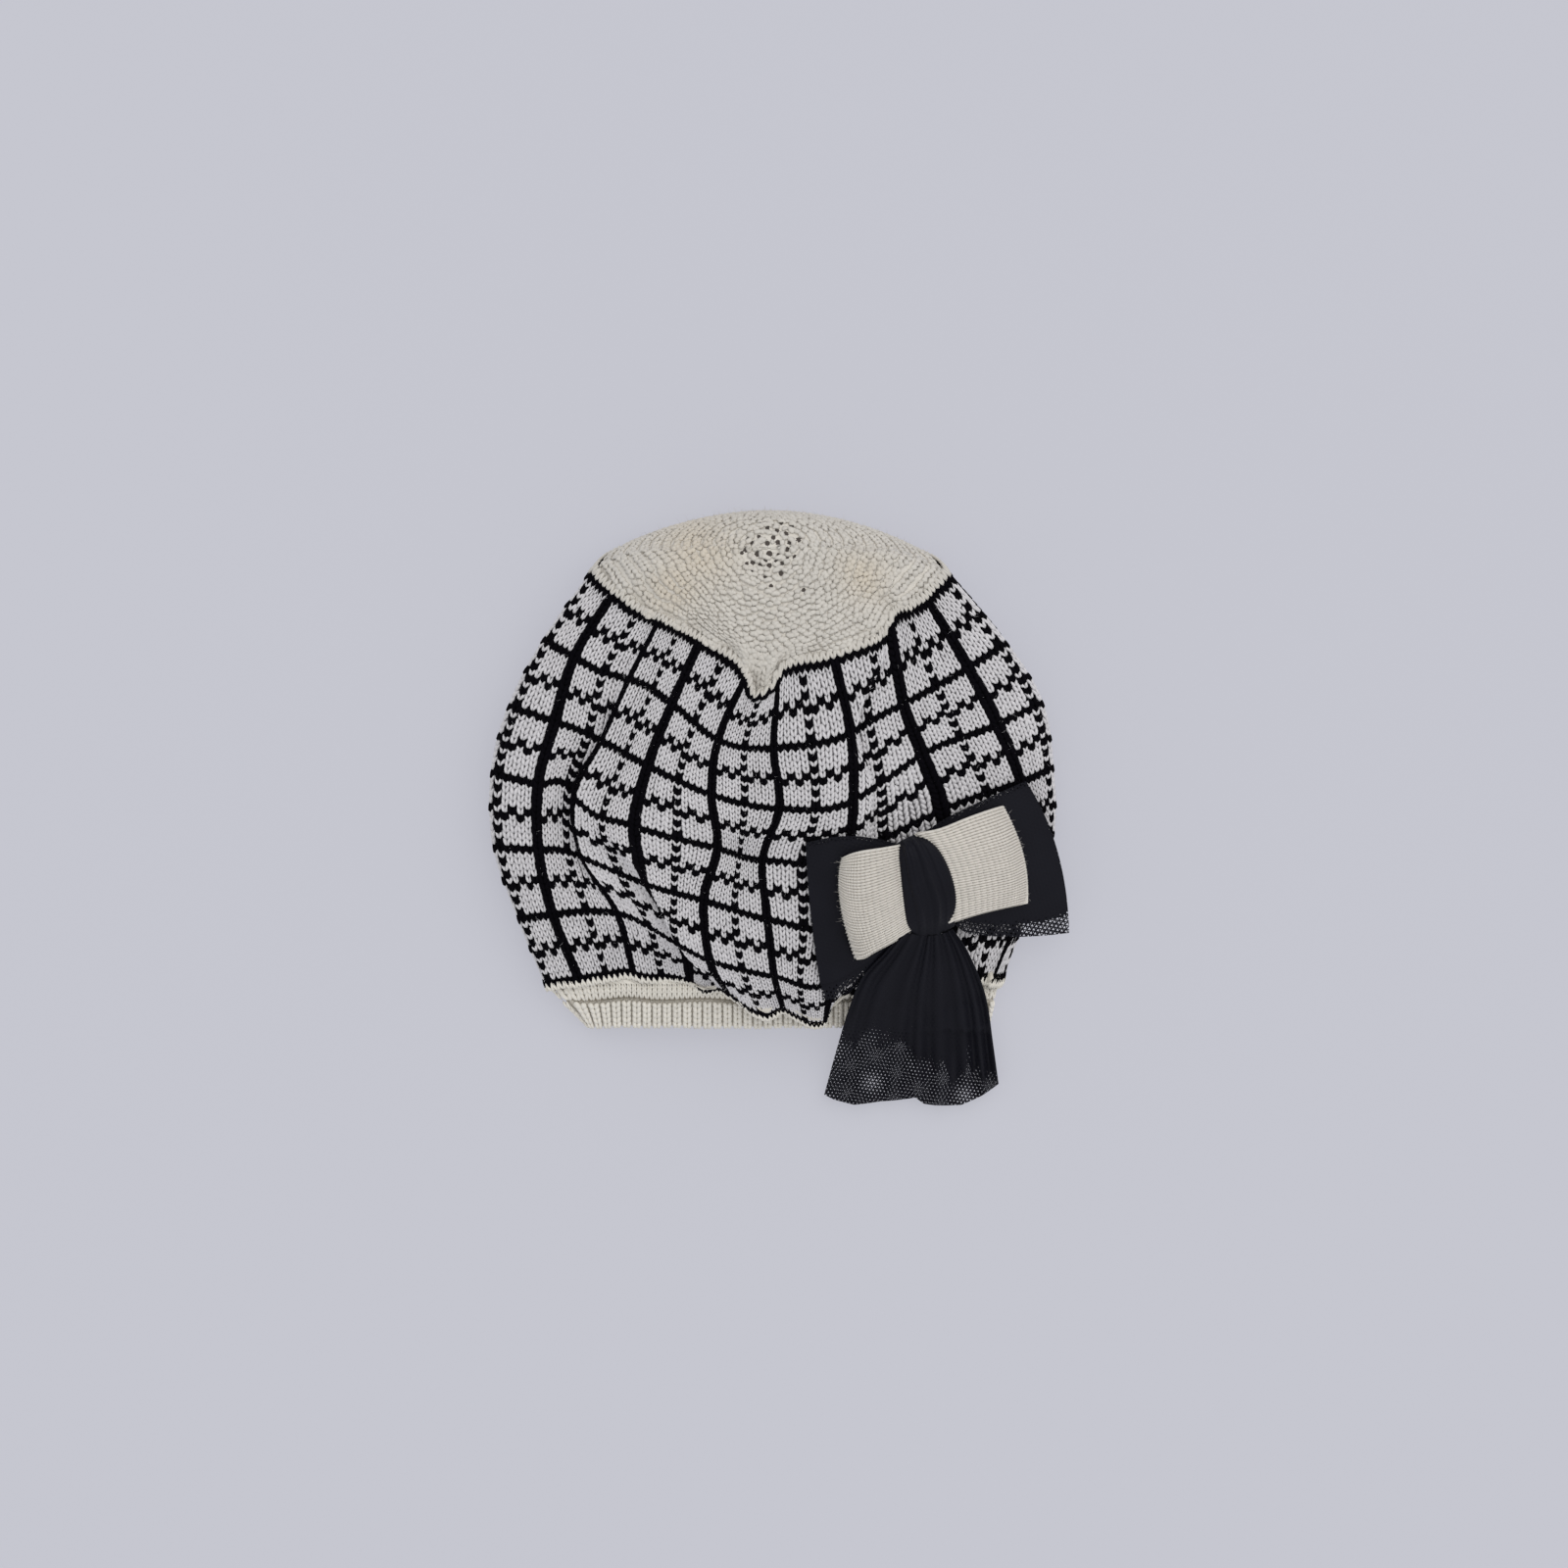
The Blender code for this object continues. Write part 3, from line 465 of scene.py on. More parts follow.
def lay_crown(body):
    """The crown's cloth from the hat's rings, drawn to the body's edge; its rows are ridges up to the centre."""
    _, front_share, back_share = ring_shares(body.columns)

    def ring(level):
        return under_camera(np.concatenate([front_ring(level, front_share), back_ring(level, back_share)]))

    offset = outer_edge(body, 0.0)[0] - ring(CROWN_SEAM_LEVEL)
    points = np.array([ring(level) + offset * (1 - ease((level - CROWN_SEAM_LEVEL) / CROWN_JOINT_REACH))
                       for level in np.linspace(CROWN_SEAM_LEVEL, CENTRE_LEVEL - CENTRE_GAP, CROWN_SAMPLES)])
    reach = np.linalg.norm(points - points[-1].mean(axis=0), axis=2).mean(axis=1)
    ridges = CROWN_RIDGES * (1 - reach / reach[0])[:, None]
    gather = CROWN_GATHER * bell(ridges, CROWN_GATHER_REACH) * np.cos(
        2 * math.pi * body.columns / CROWN_GATHER_COLUMNS)
    valley = VALLEY_DEPTH * bell(body.columns - VALLEY_COLUMN, VALLEY_COLUMNS) * bell(ridges, VALLEY_RIDGES)
    points[..., 2] += gather - valley
    return cloth_from(body.columns, -ridges[::-1, 0], points[::-1], STITCH_DEPTH)


# The band on the photograph: its seam and hem, its edges at both, and where its outer ribs stand
BAND_SEAM_PY = 1004.0
BAND_HEM_PY = 1048.5
BAND_LEFT = (560.0, 600.0)
BAND_RIGHT = (1019.0, 1009.0)
OUTER_RIBS = (590.0, 1010.0)
EDGE_CURVE = 30
BAND_EDGE = 0.07
HEM_WAVE = 0.7
# The roll below the body's edge and the crease below the roll, as shares down the band, and their height
ROLL_PLACE = 0.16
ROLL_REACH = 0.13
CREASE_PLACE = 0.385
CREASE_REACH = 0.05
CREASE_WAVE = 1.2
CREASE_WAVE_REACH = 0.2
ROLL_HEIGHT = 0.0014
# How the band starts under the body: share of its rows tucked away, and how it follows the drooping edge
TUCKED_SHARE = 0.12
TUCK_DEPTH = 0.0016
TUCK_SAMPLES = 8
BAND_SAMPLES = 54
DROOP_REACH = 18.0
UNDER_DROOP = 0.0035
UNDER_EDGE = 0.0011
FOLLOW_SHARE = 0.45


def lay_band(body):
    """The band's cloth: from under the body's edge a soft roll, a crease, and the ribs down to the hem."""
    front, u, back_share = ring_shares(body.columns)
    joint, joint_normal = outer_edge(body, LAST_ROW)
    droop = ((on_photo(0.0, BAND_SEAM_PY)[1] - joint[front, 1]) / (DROOP_REACH * PIXEL)).clip(0, 1)
    roll = ROLL_HEIGHT * ease(u / BAND_EDGE) * ease((1 - u) / BAND_EDGE)

    def ring(share):
        left = np.interp(share, (0, 1), BAND_LEFT) - OUTER_RIBS[0]
        right = np.interp(share, (0, 1), BAND_RIGHT) - OUTER_RIBS[1]
        px = (OUTER_RIBS[0] + u * (OUTER_RIBS[1] - OUTER_RIBS[0]) + left * (1 - u) ** EDGE_CURVE
              + right * u ** EDGE_CURVE)
        py = np.interp(share, (0, 1), (BAND_SEAM_PY, BAND_HEM_PY)) + HEM_WAVE * np.sin(17 * u) * np.sin(31 * u + 1)
        py = py + CREASE_WAVE * np.sin(34 * u + 0.6) * bell(share - CREASE_PLACE, CREASE_WAVE_REACH)
        x, y = on_photo(px, py)
        z = front_ring(BAND_SEAM_LEVEL * (1 - share), u)[:, 2] - UNDER_DROOP * droop * (1 - share)
        z = z + roll * (bell(share - ROLL_PLACE, ROLL_REACH) - bell(share - CREASE_PLACE, CREASE_REACH))
        points = under_camera(np.stack([x, y, z], 1))
        back = back_ring(BAND_SEAM_LEVEL * (1 - share), back_share, points[0, :2], points[-1, :2])
        return np.concatenate([points, back])

    shares = np.concatenate([np.linspace(0, TUCKED_SHARE, TUCK_SAMPLES)[:-1],
                             np.linspace(TUCKED_SHARE, 1, BAND_SAMPLES)])
    first = ring(0.0)
    below = np.zeros_like(first)
    below[:, 2] = np.minimum(joint[:, 2] - UNDER_EDGE - first[:, 2], 0.0)
    first = first + below
    points = []
    for share in shares:
        if share < TUCKED_SHARE:
            turned = ease(share / TUCKED_SHARE)
            points.append(joint + turned * (first - joint) - TUCK_DEPTH * (1 - turned) * joint_normal)
        else:
            down = (share - TUCKED_SHARE) / (1 - TUCKED_SHARE)
            points.append(ring(down) + below * (1 - ease(down / FOLLOW_SHARE)))
    return cloth_from(body.columns, LAST_ROW + shares * BAND_ROWS, np.array(points), STITCH_DEPTH)


# ---------------------------------------------------------------- yarn laid on the cloth

# Shape of one leg of yarn from its hidden start to its hidden end: place across the column and along the
# row as shares of them, half thickness as a share of the column, and height over the cloth in metres
Bend = namedtuple("Bend", "across along half lift")
KNIT_LEG = [
    Bend(-0.42, -0.74, 0.06, -0.00080),
    Bend(-0.36, -0.42, 0.19, -0.00012),
    Bend(-0.27, 0.04, 0.235, 0.00028),
    Bend(-0.16, 0.50, 0.20, 0.00030),
    Bend(-0.06, 0.88, 0.05, -0.00030),
]
# The black stitches spread wider at their tops and end in sharper tips
BLACK_LEG = [
    Bend(-0.50, -0.66, 0.08, -0.00070),
    Bend(-0.42, -0.38, 0.22, 0.00000),
    Bend(-0.28, 0.06, 0.26, 0.00035),
    Bend(-0.14, 0.54, 0.24, 0.00045),
    Bend(0.00, 1.00, 0.04, -0.00010),
]
# The black stitches of the lines along a row: long thin arms, so that the line runs in a zigzag
LINE_LEG = [
    Bend(-0.50, -0.74, 0.06, -0.00040),
    Bend(-0.45, -0.44, 0.19, 0.00005),
    Bend(-0.29, 0.06, 0.24, 0.00038),
    Bend(-0.12, 0.56, 0.215, 0.00042),
    Bend(0.02, 1.02, 0.03, -0.00010),
]
BACK_LEG = [KNIT_LEG[0], KNIT_LEG[1], Bend(-0.18, 0.36, 0.21, 0.00020), KNIT_LEG[4]]
PURL_BUMP = [
    Bend(-0.60, 0.15, 0.16, -0.00022),
    Bend(-0.36, 0.07, 0.28, 0.00012),
    Bend(0.0, -0.05, 0.32, 0.00042),
    Bend(0.36, 0.07, 0.28, 0.00012),
    Bend(0.60, 0.15, 0.16, -0.00022),
]
# The cream arms that reach up between black stitches
TIP_LEG = [
    Bend(-0.50, -0.86, 0.06, -0.00020),
    Bend(-0.44, -0.46, 0.24, 0.00030),
    Bend(-0.30, 0.04, 0.28, 0.00040),
    Bend(-0.16, 0.50, 0.24, 0.00020),
    Bend(-0.04, 0.90, 0.08, -0.00040),
]
LOOP_LEG = [
    Bend(-0.29, -0.80, 0.12, -0.00020),
    Bend(-0.27, -0.36, 0.25, 0.00003),
    Bend(-0.25, 0.06, 0.27, 0.00009),
    Bend(-0.24, 0.44, 0.25, 0.00003),
    Bend(-0.22, 0.84, 0.12, -0.00020),
]
RIB_LEG = [
    Bend(-0.34, -0.80, 0.10, -0.00060),
    Bend(-0.29, -0.44, 0.25, 0.00005),
    Bend(-0.235, 0.04, 0.27, 0.00030),
    Bend(-0.19, 0.50, 0.25, 0.00020),
    Bend(-0.14, 0.92, 0.10, -0.00040),
]
THICKEST = 0.00085
FLAT_BUMP = 0.00058
NARROWEST_COLUMN = 0.0012
WIDEST_COLUMN = 0.0046
PRESS_HEIGHT = 0.0013
SIDES = 5
FEWER_SIDES = 4


def yarn_shape(sides, bends):
    """Faces and corner UVs of one closed leg of yarn: quads between its rings and triangles at its two ends."""
    turn, ring = np.arange(sides), np.arange(bends - 3)[:, None]
    after, first, end = (turn + 1) % sides, 1 + ring * sides, 1 + (bends - 2) * sides
    quads = np.stack([first + turn, first + after, first + sides + after, first + sides + turn], -1)
    triangles = np.concatenate([np.stack([0 * turn, 1 + after, 1 + turn], 1),
                                np.stack([0 * turn + end, end - sides + turn, end - sides + after], 1)])

    def corners(along, around):
        return np.stack(np.broadcast_arrays(along, (turn[:, None] + around) / sides), -1).reshape(-1, 2)

    tip = np.array([0, 1, 1]) / (bends - 1)
    quad_uv = corners((ring[..., None] + [1, 1, 2, 2]) / (bends - 1), [0, 1, 1, 0])
    end_uv = np.concatenate([corners(tip, [0.5, 1, 0]), corners(1 - tip, [0.5, 0, 1])])
    return quads.reshape(-1, 4), triangles, quad_uv, end_uv


def leg_vertices(points, side, up, half, thick, sides):
    """Vertices of closed legs: a ring round each inner point of a leg, and its two end points."""
    turn = 2 * math.pi * np.arange(sides) / sides
    rings = (points[:, 1:-1, None] + side[:, 1:-1, None] * (half[:, 1:-1, None] * np.cos(turn))[..., None]
             + up[:, 1:-1, None] * (thick[:, 1:-1, None] * np.sin(turn))[..., None])
    return np.concatenate([points[:, :1], rings.reshape(len(points), -1, 3), points[:, -1:]], 1)


def yarn_legs(cloth, column, row, width, bends, sides, mirror=1.0, height=1.0, by_row=False):
    """Vertices of yarn legs laid on the cloth, one for each column and row; as thick as columns or rows are."""
    bends = np.array(bends, float)
    width, height = np.broadcast_to(width, column.shape), np.broadcast_to(height, column.shape)
    points, normals = read_cloth(cloth, column[:, None] + mirror * bends[:, 0] * width[:, None],
                                 row[:, None] + bends[:, 1] * height[:, None])
    points = points + normals * bends[:, 3, None]
    over, down = (0.0, 0.5) if by_row else (0.5, 0.0)
    before, _ = read_cloth(cloth, column - over, row - down)
    after, _ = read_cloth(cloth, column + over, row + down)
    pitch = np.linalg.norm(after - before, axis=1).clip(NARROWEST_COLUMN, WIDEST_COLUMN)
    half = bends[:, 2] * (pitch if by_row else pitch * width)[:, None]
    thick = np.minimum(half, FLAT_BUMP if by_row else THICKEST)
    forward = unit(np.gradient(points, axis=1))
    side = unit(np.cross(forward, normals))
    return leg_vertices(points, side, np.cross(side, forward), half, thick, sides)


def both_legs(cloth, column, row, width, bends, sides=SIDES, height=1.0, lift=0.0):
    """The right and then the left legs of V stitches, raised off the cloth by the lift."""
    _, normals = read_cloth(cloth, column, row)
    raised = normals * np.broadcast_to(lift, column.shape)[:, None]
    return np.concatenate([yarn_legs(cloth, column, row, width, bends, sides, mirror, height) + raised[:, None]
                           for mirror in (1, -1)])


def stitch_grid(columns, rows):
    """Column and row of every stitch of a grid, row by row."""
    column, row = np.meshgrid(np.asarray(columns, float), np.asarray(rows, float))
    return column.ravel(), row.ravel()


def wobble(chance, count):
    """Random numbers round 0, none of them beyond 2."""
    return chance.standard_normal(count).clip(-2, 2)


def pressed(points):
    """The points with everything near the floor pressed flat by the hat's weight, none of it under the floor."""
    points = np.array(points, float)
    low = points[:, 2] < PRESS_HEIGHT
    points[low, 2] = np.maximum(0.5 * (points[low, 2] + PRESS_HEIGHT), 0.0)
    return points


def give_values(mesh, name, domain, values):
    """A number for each point or face of the mesh, for its material to read."""
    mesh.attributes.new(name, "FLOAT", domain).data.foreach_set("value", np.asarray(values, np.float32))


def mesh_piece(name, vertices, quads, triangles, material):
    """A smooth shaded mesh object from arrays."""
    mesh = bpy.data.meshes.new(name)
    corners = np.concatenate([quads.ravel(), triangles.ravel()]).astype(np.int32)
    starts = np.concatenate([4 * np.arange(len(quads)), 4 * len(quads) + 3 * np.arange(len(triangles))])
    mesh.vertices.add(len(vertices))
    mesh.vertices.foreach_set("co", pressed(vertices).astype(np.float32).ravel())
    mesh.loops.add(len(corners))
    mesh.loops.foreach_set("vertex_index", corners)
    mesh.polygons.add(len(starts))
    mesh.polygons.foreach_set("loop_start", starts.astype(np.int32))
    mesh.update(calc_edges=True)
    mesh.polygons.foreach_set("use_smooth", np.ones(len(starts), bool))
    mesh.materials.append(material)
    return add_object(name, mesh)


def yarn_piece(name, legs, sides, material, tints):
    """One piece from many legs of the same shape; every leg has its own tint."""
    number, count = legs.shape[:2]
    quads, triangles, *uvs = yarn_shape(sides, (count - 2) // sides + 2)
    shift = (np.arange(number) * count)[:, None, None]
    piece = mesh_piece(name, legs.reshape(-1, 3), (quads + shift).reshape(-1, 4),
                       (triangles + shift).reshape(-1, 3), material)
    corner_uv = np.concatenate([np.tile(uv, (number, 1)) for uv in uvs]).astype(np.float32)
    piece.data.uv_layers.new(name="yarn").data.foreach_set("uv", corner_uv.ravel())
    give_values(piece.data, "tint", "POINT", np.repeat(tints, count))
    return piece


HAIR_RADIUS = 0.00004
HAIR_SIDES = 3
HAIR_LENGTHS = (0.0008, 0.0024)
HAIR_LEAN = 0.6
HAIR_CURL = 0.55
HAIR_STEPS = (0.0, 0.35, 0.7, 1.0)
HAIR_SIDEWAYS = (0.31, 0.87, 0.38)


def cloth_hairs(name, cloth, columns, rows, count, material, seed):
    """Loose fine hairs at random places of a cloth, which stand out, lean to a side and curl."""
    chance = np.random.default_rng(seed)
    column, row = chance.uniform(*columns, count), chance.uniform(*rows, count)
    starts, normals = read_cloth(cloth, column, row)
    ways = unit(normals + HAIR_LEAN * chance.standard_normal((count, 3)))
    chance = np.random.default_rng(seed + 100)
    length = chance.uniform(*HAIR_LENGTHS, count)[:, None]
    curl = HAIR_CURL * chance.standard_normal((count, 3))
    points = np.stack([starts + length * share * (ways + share * curl) for share in HAIR_STEPS], 1)
    forward = np.gradient(points, axis=1)
    side = unit(np.cross(forward, HAIR_SIDEWAYS))
    radius = np.full(points.shape[:2], HAIR_RADIUS)
    legs = leg_vertices(points, side, unit(np.cross(side, forward)), radius, radius, HAIR_SIDES)
    return yarn_piece(name, legs, HAIR_SIDES, material, chance.uniform(0, 1, count))


# ---------------------------------------------------------------- the check chart

# Widths of the black line columns from the left edge to the right one, in columns, and of other stitches
LINE_WIDTHS = (1.45, 0.90, 1.62, 1.28, 1.05, 1.20, 1.40, 1.45)
BACK_LINE_WIDTH = 1.35
BESIDE_LINE = 0.95
BLACK_WIDTH = 1.12
BLACK_HEIGHT = 1.20
LINE_HEIGHT = 1.38
FIRST_ROW_HEIGHT = 1.5
LAST_ROW_HEIGHT = 1.2
BLACK_LIFT = 0.00016
EDGE_ROW_LIFT = 0.0004
EDGE_ROW_PITCH = 0.0022
TOOTH_LOW = 6
TOOTH_HIGH = 5


def is_black(column, row):
    """Whether the chart's stitch is black: lines each way, a dotted column and two rows of teeth."""
    across = np.mod(column, REPEAT_COLUMNS)
    down = np.mod(row, REPEAT_ROWS)
    in_block = np.mod(across, 5)
    tooth = np.where(in_block % 2 == 1, TOOTH_LOW, TOOTH_HIGH)
    return ((across == 0) | (down == 0) | ((across == 5) & (down % 2 == 0))
            | ((in_block > 0) & (down == tooth)))


def column_shift(column):
    """How far a stitch moves and how wide it is beside the fat black lines."""
    across = np.mod(column, REPEAT_COLUMNS)
    line = np.round(column / REPEAT_COLUMNS).astype(int)
    widths = np.array(LINE_WIDTHS)
    line_width = np.where((line >= 0) & (line < len(widths)), widths[line.clip(0, len(widths) - 1)],
                          BACK_LINE_WIDTH)
    width = np.where(across == 0, line_width, BESIDE_LINE)
    push = (line_width - 1) / 2 * np.interp(np.minimum(across, REPEAT_COLUMNS - across), [1, 5], [0.9, 0.0])
    shift = np.where(across == 0, 0.0, np.where(across < REPEAT_COLUMNS / 2, push, -push))
    return shift, width


# The notch between the folds at the crown's seam: its middle column and its reach to both sides
NOTCH_COLUMN = 35.8
NOTCH_REACH = 4.4
# How unevenly the stitches lie: their widths, cream and black ones, and their places
WIDTH_SCATTER = {False: 0.05, True: 0.08}
PLACE_SCATTER = 0.03
CROWDED_WIDTH = 1.9
MOST_STRETCHED = 1.6


def in_notch(column):
    """Whether a stitch at the crown's seam stands in the notch."""
    return np.abs(column - NOTCH_COLUMN) < NOTCH_REACH


def knit_stitches(name, cloth, columns, black, bends, seed, material):
    """All the stitches of one colour on a stretch of the body."""
    column, row = stitch_grid(columns, np.arange(LAST_ROW + 1))
    chosen = (is_black(column, row) == black) & ~((row == 0) & in_notch(column) & (column % 2 == 1))
    column, row = column[chosen], row[chosen]
    crowded = (row == 0) & in_notch(column)
    chance = np.random.default_rng(seed)
    shift, width = column_shift(column)
    height, lift = np.ones(len(row)), 0.0
    if black:
        width = np.maximum(width, BLACK_WIDTH) * np.where(crowded, CROWDED_WIDTH, 1.0)
        height = np.where(row % REPEAT_ROWS == 0, LINE_HEIGHT, BLACK_HEIGHT)
        height[row == 0], height[row == LAST_ROW] = FIRST_ROW_HEIGHT, LAST_ROW_HEIGHT
        above, _ = read_cloth(cloth, column, row - 0.5)
        below, _ = read_cloth(cloth, column, row + 0.5)
        crushed = EDGE_ROW_PITCH / np.linalg.norm(below - above, axis=1).clip(1e-5)
        height = np.where(row == 0, height * crushed.clip(1.0, MOST_STRETCHED), height)
        lift = BLACK_LIFT * (row % REPEAT_ROWS != 0) + EDGE_ROW_LIFT * np.isin(row, (0, LAST_ROW))
    width = width * (1 + WIDTH_SCATTER[black] * wobble(chance, len(column)))
    place = column + shift + PLACE_SCATTER * wobble(chance, len(column))
    down = row + PLACE_SCATTER * wobble(chance, len(column))
    tint = chance.uniform(0.0, 1.0, len(column))
    legs = both_legs(cloth, place, down, width, bends, FEWER_SIDES, height, lift)
    if bends is BLACK_LEG:
        line = (row % REPEAT_ROWS == 0) & (column % REPEAT_COLUMNS != 0) & ~crowded
        legs[np.tile(line, 2)] = both_legs(cloth, place[line], down[line], width[line], LINE_LEG, FEWER_SIDES,
                                           height[line], lift[line])
    return yarn_piece(name, legs, FEWER_SIDES, material, np.tile(tint, 2))


# ---------------------------------------------------------------- the walls behind the stitches


def wall_piece(name, cloth, columns, rows, material, is_dark, depth=WALL_DEPTH, closed=False):
    """A closed wall round the hat behind its stitches; shade is 1 where the yarn behind is black, or where a gap or
    hole is painted dark as shade.
    """
    column, row = np.meshgrid(columns, rows)
    outer, normals = read_cloth(cloth, column, row)
    outer = outer - normals * depth
    inner = outer - normals * WALL_THICKNESS
    across, down = len(columns), len(rows)
    shift = across * down
    vertices = np.concatenate([outer.reshape(-1, 3), inner.reshape(-1, 3)])
    number = np.arange(shift).reshape(down, across)
    after = np.roll(number, -1, axis=1)
    outside = np.stack([number[:-1], number[1:], after[1:], after[:-1]], -1).reshape(-1, 4)
    top_rim = np.stack([number[0], after[0], after[0] + shift, number[0] + shift], 1)
    foot_rim = np.stack([number[-1], number[-1] + shift, after[-1] + shift, after[-1]], 1)
    fans = np.zeros((0, 3), int)
    if closed:
        vertices = np.concatenate([vertices, [outer[0].mean(axis=0), inner[0].mean(axis=0)]])
        centre = np.full(across, 2 * shift)
        fans = np.concatenate([np.stack([centre, number[0], after[0]], 1),
                               np.stack([centre + 1, after[0] + shift, number[0] + shift], 1)])
        top_rim = top_rim[:0]
    quads = np.concatenate([outside, outside[:, ::-1] + shift, top_rim, foot_rim])
    piece = mesh_piece(name, vertices, quads, fans, material)
    middle_column = (columns + np.r_[columns[1:], columns[0] + ROUND]) / 2
    dark = np.ravel(is_dark(*np.meshgrid(middle_column, (rows[:-1] + rows[1:]) / 2)))
    shade = np.zeros(len(quads) + len(fans))
    shade[:2 * len(dark)] = np.tile(dark, 2)
    give_values(piece.data, "shade", "FACE", shade)
    return piece


# ---------------------------------------------------------------- materials


def feed(tree, node, inputs):
    """Give a node's inputs their values, or link them to the outputs of other nodes."""
    for place, value in inputs.items():
        if isinstance(value, bpy.types.NodeSocket):
            tree.links.new(value, node.inputs[place])
        else:
            node.inputs[place].default_value = value
    return node


def calculate(tree, operation, *values):
    """Output of a math node over numbers and outputs."""
    node = tree.nodes.new("ShaderNodeMath")
    node.operation = operation
    return feed(tree, node, dict(enumerate(values))).outputs[0]


def vector_math(tree, operation, inputs):
    """Output of a vector math node."""
    node = tree.nodes.new("ShaderNodeVectorMath")
    node.operation = operation
    return feed(tree, node, inputs).outputs[0]


def mixed(tree, kind, first, second, share):
    """Output between two colours or vectors."""
    node = tree.nodes.new("ShaderNodeMix")
    node.data_type = kind
    return feed(tree, node, {"A": first, "B": second, "Factor": share}).outputs["Result"]


def attribute(tree, name):
    """Output of the numbers that the mesh carries under a name."""
    node = tree.nodes.new("ShaderNodeAttribute")
    node.attribute_name = name
    return node.outputs["Fac"]


def mesh_uv(tree, name):
    """Output of the mesh's UVs under a name."""
    node = tree.nodes.new("ShaderNodeUVMap")
    node.uv_map = name
    return node.outputs["UV"]


def noise(tree, scale, detail=2.0):
    """Output of a soft noise that rides on the piece."""
    place = tree.nodes.new("ShaderNodeTexCoord").outputs["Object"]
    node = tree.nodes.new("ShaderNodeTexNoise")
    return feed(tree, node, {"Vector": place, "Scale": scale, "Detail": detail}).outputs["Fac"]


def relief(tree, height, strength, distance):
    """Output of the normals of a bump."""
    node = tree.nodes.new("ShaderNodeBump")
    return feed(tree, node, {"Strength": strength, "Distance": distance, "Height": height}).outputs["Normal"]


def new_group(name, inputs, outputs):
    """A node group with named sockets and their values, None for a colour: its tree, inputs and output node."""
    group = bpy.data.node_groups.new(name, "ShaderNodeTree")
    for way, sockets in (("INPUT", inputs), ("OUTPUT", outputs)):
        for label, value in sockets.items():
            kind = "NodeSocketColor" if value is None else "NodeSocketFloat"
            socket = group.interface.new_socket(name=label, in_out=way, socket_type=kind)
            if value is not None:
                socket.default_value = value
    return group, group.nodes.new("NodeGroupInput").outputs, group.nodes.new("NodeGroupOutput")


def use_group(tree, group, inputs):
    """Outputs of a node group with its inputs."""
    node = tree.nodes.new("ShaderNodeGroup")
    node.node_tree = group
    return feed(tree, node, inputs).outputs


def new_material(name, roughness, shine):
    """A material, its tree and its shader."""
    material = bpy.data.materials.new(name)
    material.use_nodes = True
    shader = material.node_tree.nodes["Principled BSDF"]
    feed(material.node_tree, shader, {"Roughness": roughness, "Specular IOR Level": shine})
    return material, material.node_tree, shader


FUZZ_SCALE = 2600.0
FUZZ_SHARE = 0.6
UNEVEN_SCALE = 22.0
WARM_TINT = (1.0, 0.95, 0.87)
YARN_RELIEF = 0.0002
FLOAT_SCALE = 900.0
FLOAT_RELIEF = 0.0005


def yarn_group():
    """Twisted yarn: takes a colour, gives it lighter and darker strands, and a height for the bump."""
    tree, start, end = new_group("twisted yarn", {"Yarn Color": None, "Tint Spread": 0.12},
                                 {"Color": None, "Height": 0.0})
    wave = tree.nodes.new("ShaderNodeTexWave")
    wave.wave_type = "BANDS"
    wave.bands_direction = "DIAGONAL"
    feed(tree, wave, {"Vector": mesh_uv(tree, "yarn"), "Scale": 1.0, "Distortion": 0.4})
    uneven = calculate(tree, "ADD", attribute(tree, "tint"), noise(tree, UNEVEN_SCALE))
    spread = start["Tint Spread"]
    light = calculate(tree, "MULTIPLY_ADD", uneven, spread, calculate(tree, "SUBTRACT", 1.0, spread))
    shaded = vector_math(tree, "SCALE", {0: start["Yarn Color"], "Scale": light})
    warmed = vector_math(tree, "MULTIPLY", {0: shaded, 1: WARM_TINT})
    fuzz = noise(tree, FUZZ_SCALE, 3.0)
    feed(tree, end, {"Color": mixed(tree, "VECTOR", shaded, warmed, attribute(tree, "warm")),
                     "Height": calculate(tree, "MULTIPLY_ADD", fuzz, FUZZ_SHARE, wave.outputs["Fac"])})
    return tree


def yarn_material(name, group, color, spread, sheen, bump, shine=0.15):
    material, tree, shader = new_material(name, roughness=0.92, shine=shine)
    yarn = use_group(tree, group, {"Yarn Color": (*color, 1.0), "Tint Spread": spread})
    feed(tree, shader, {"Base Color": yarn["Color"], "Normal": relief(tree, yarn["Height"], bump, YARN_RELIEF),
                        "Sheen Weight": sheen, "Sheen Roughness": 0.6})
    return material


def wall_material(name, light, dark):
    """Inner side of the knit seen between its stitches: fine floats in the light colour, and the dark colour where
    the piece's shade number is 1. A wall's colours can hold painted shade.
    """
    material, tree, shader = new_material(name, roughness=0.95, shine=0.1)
    floats = noise(tree, FLOAT_SCALE)
    feed(tree, shader, {"Base Color": mixed(tree, "RGBA", (*light, 1.0), (*dark, 1.0), attribute(tree, "shade")),
                        "Normal": relief(tree, floats, 0.6, FLOAT_RELIEF)})
    return material


FLOOR_COLORS = ((0.170, 0.172, 0.190, 1.0), (0.185, 0.187, 0.204, 1.0))
FLOOR_GLOW = (0.395, 0.397, 0.440, 1.0)
FLOOR_SIZE = 12.0


def make_floor():
    """A pale floor that glows a little, so that the hat's shadow on it is soft."""
    material, tree, shader = new_material("pale floor", roughness=0.9, shine=0.1)
    feed(tree, shader, {"Base Color": mixed(tree, "RGBA", *FLOOR_COLORS, noise(tree, 1.5)),
                        "Emission Color": FLOOR_GLOW, "Emission Strength": 1.0})
    bpy.ops.mesh.primitive_plane_add(size=FLOOR_SIZE, location=(0.0, 0.0, 0.0))
    floor = bpy.context.object
    floor.name = "floor"
    floor.data.materials.append(material)


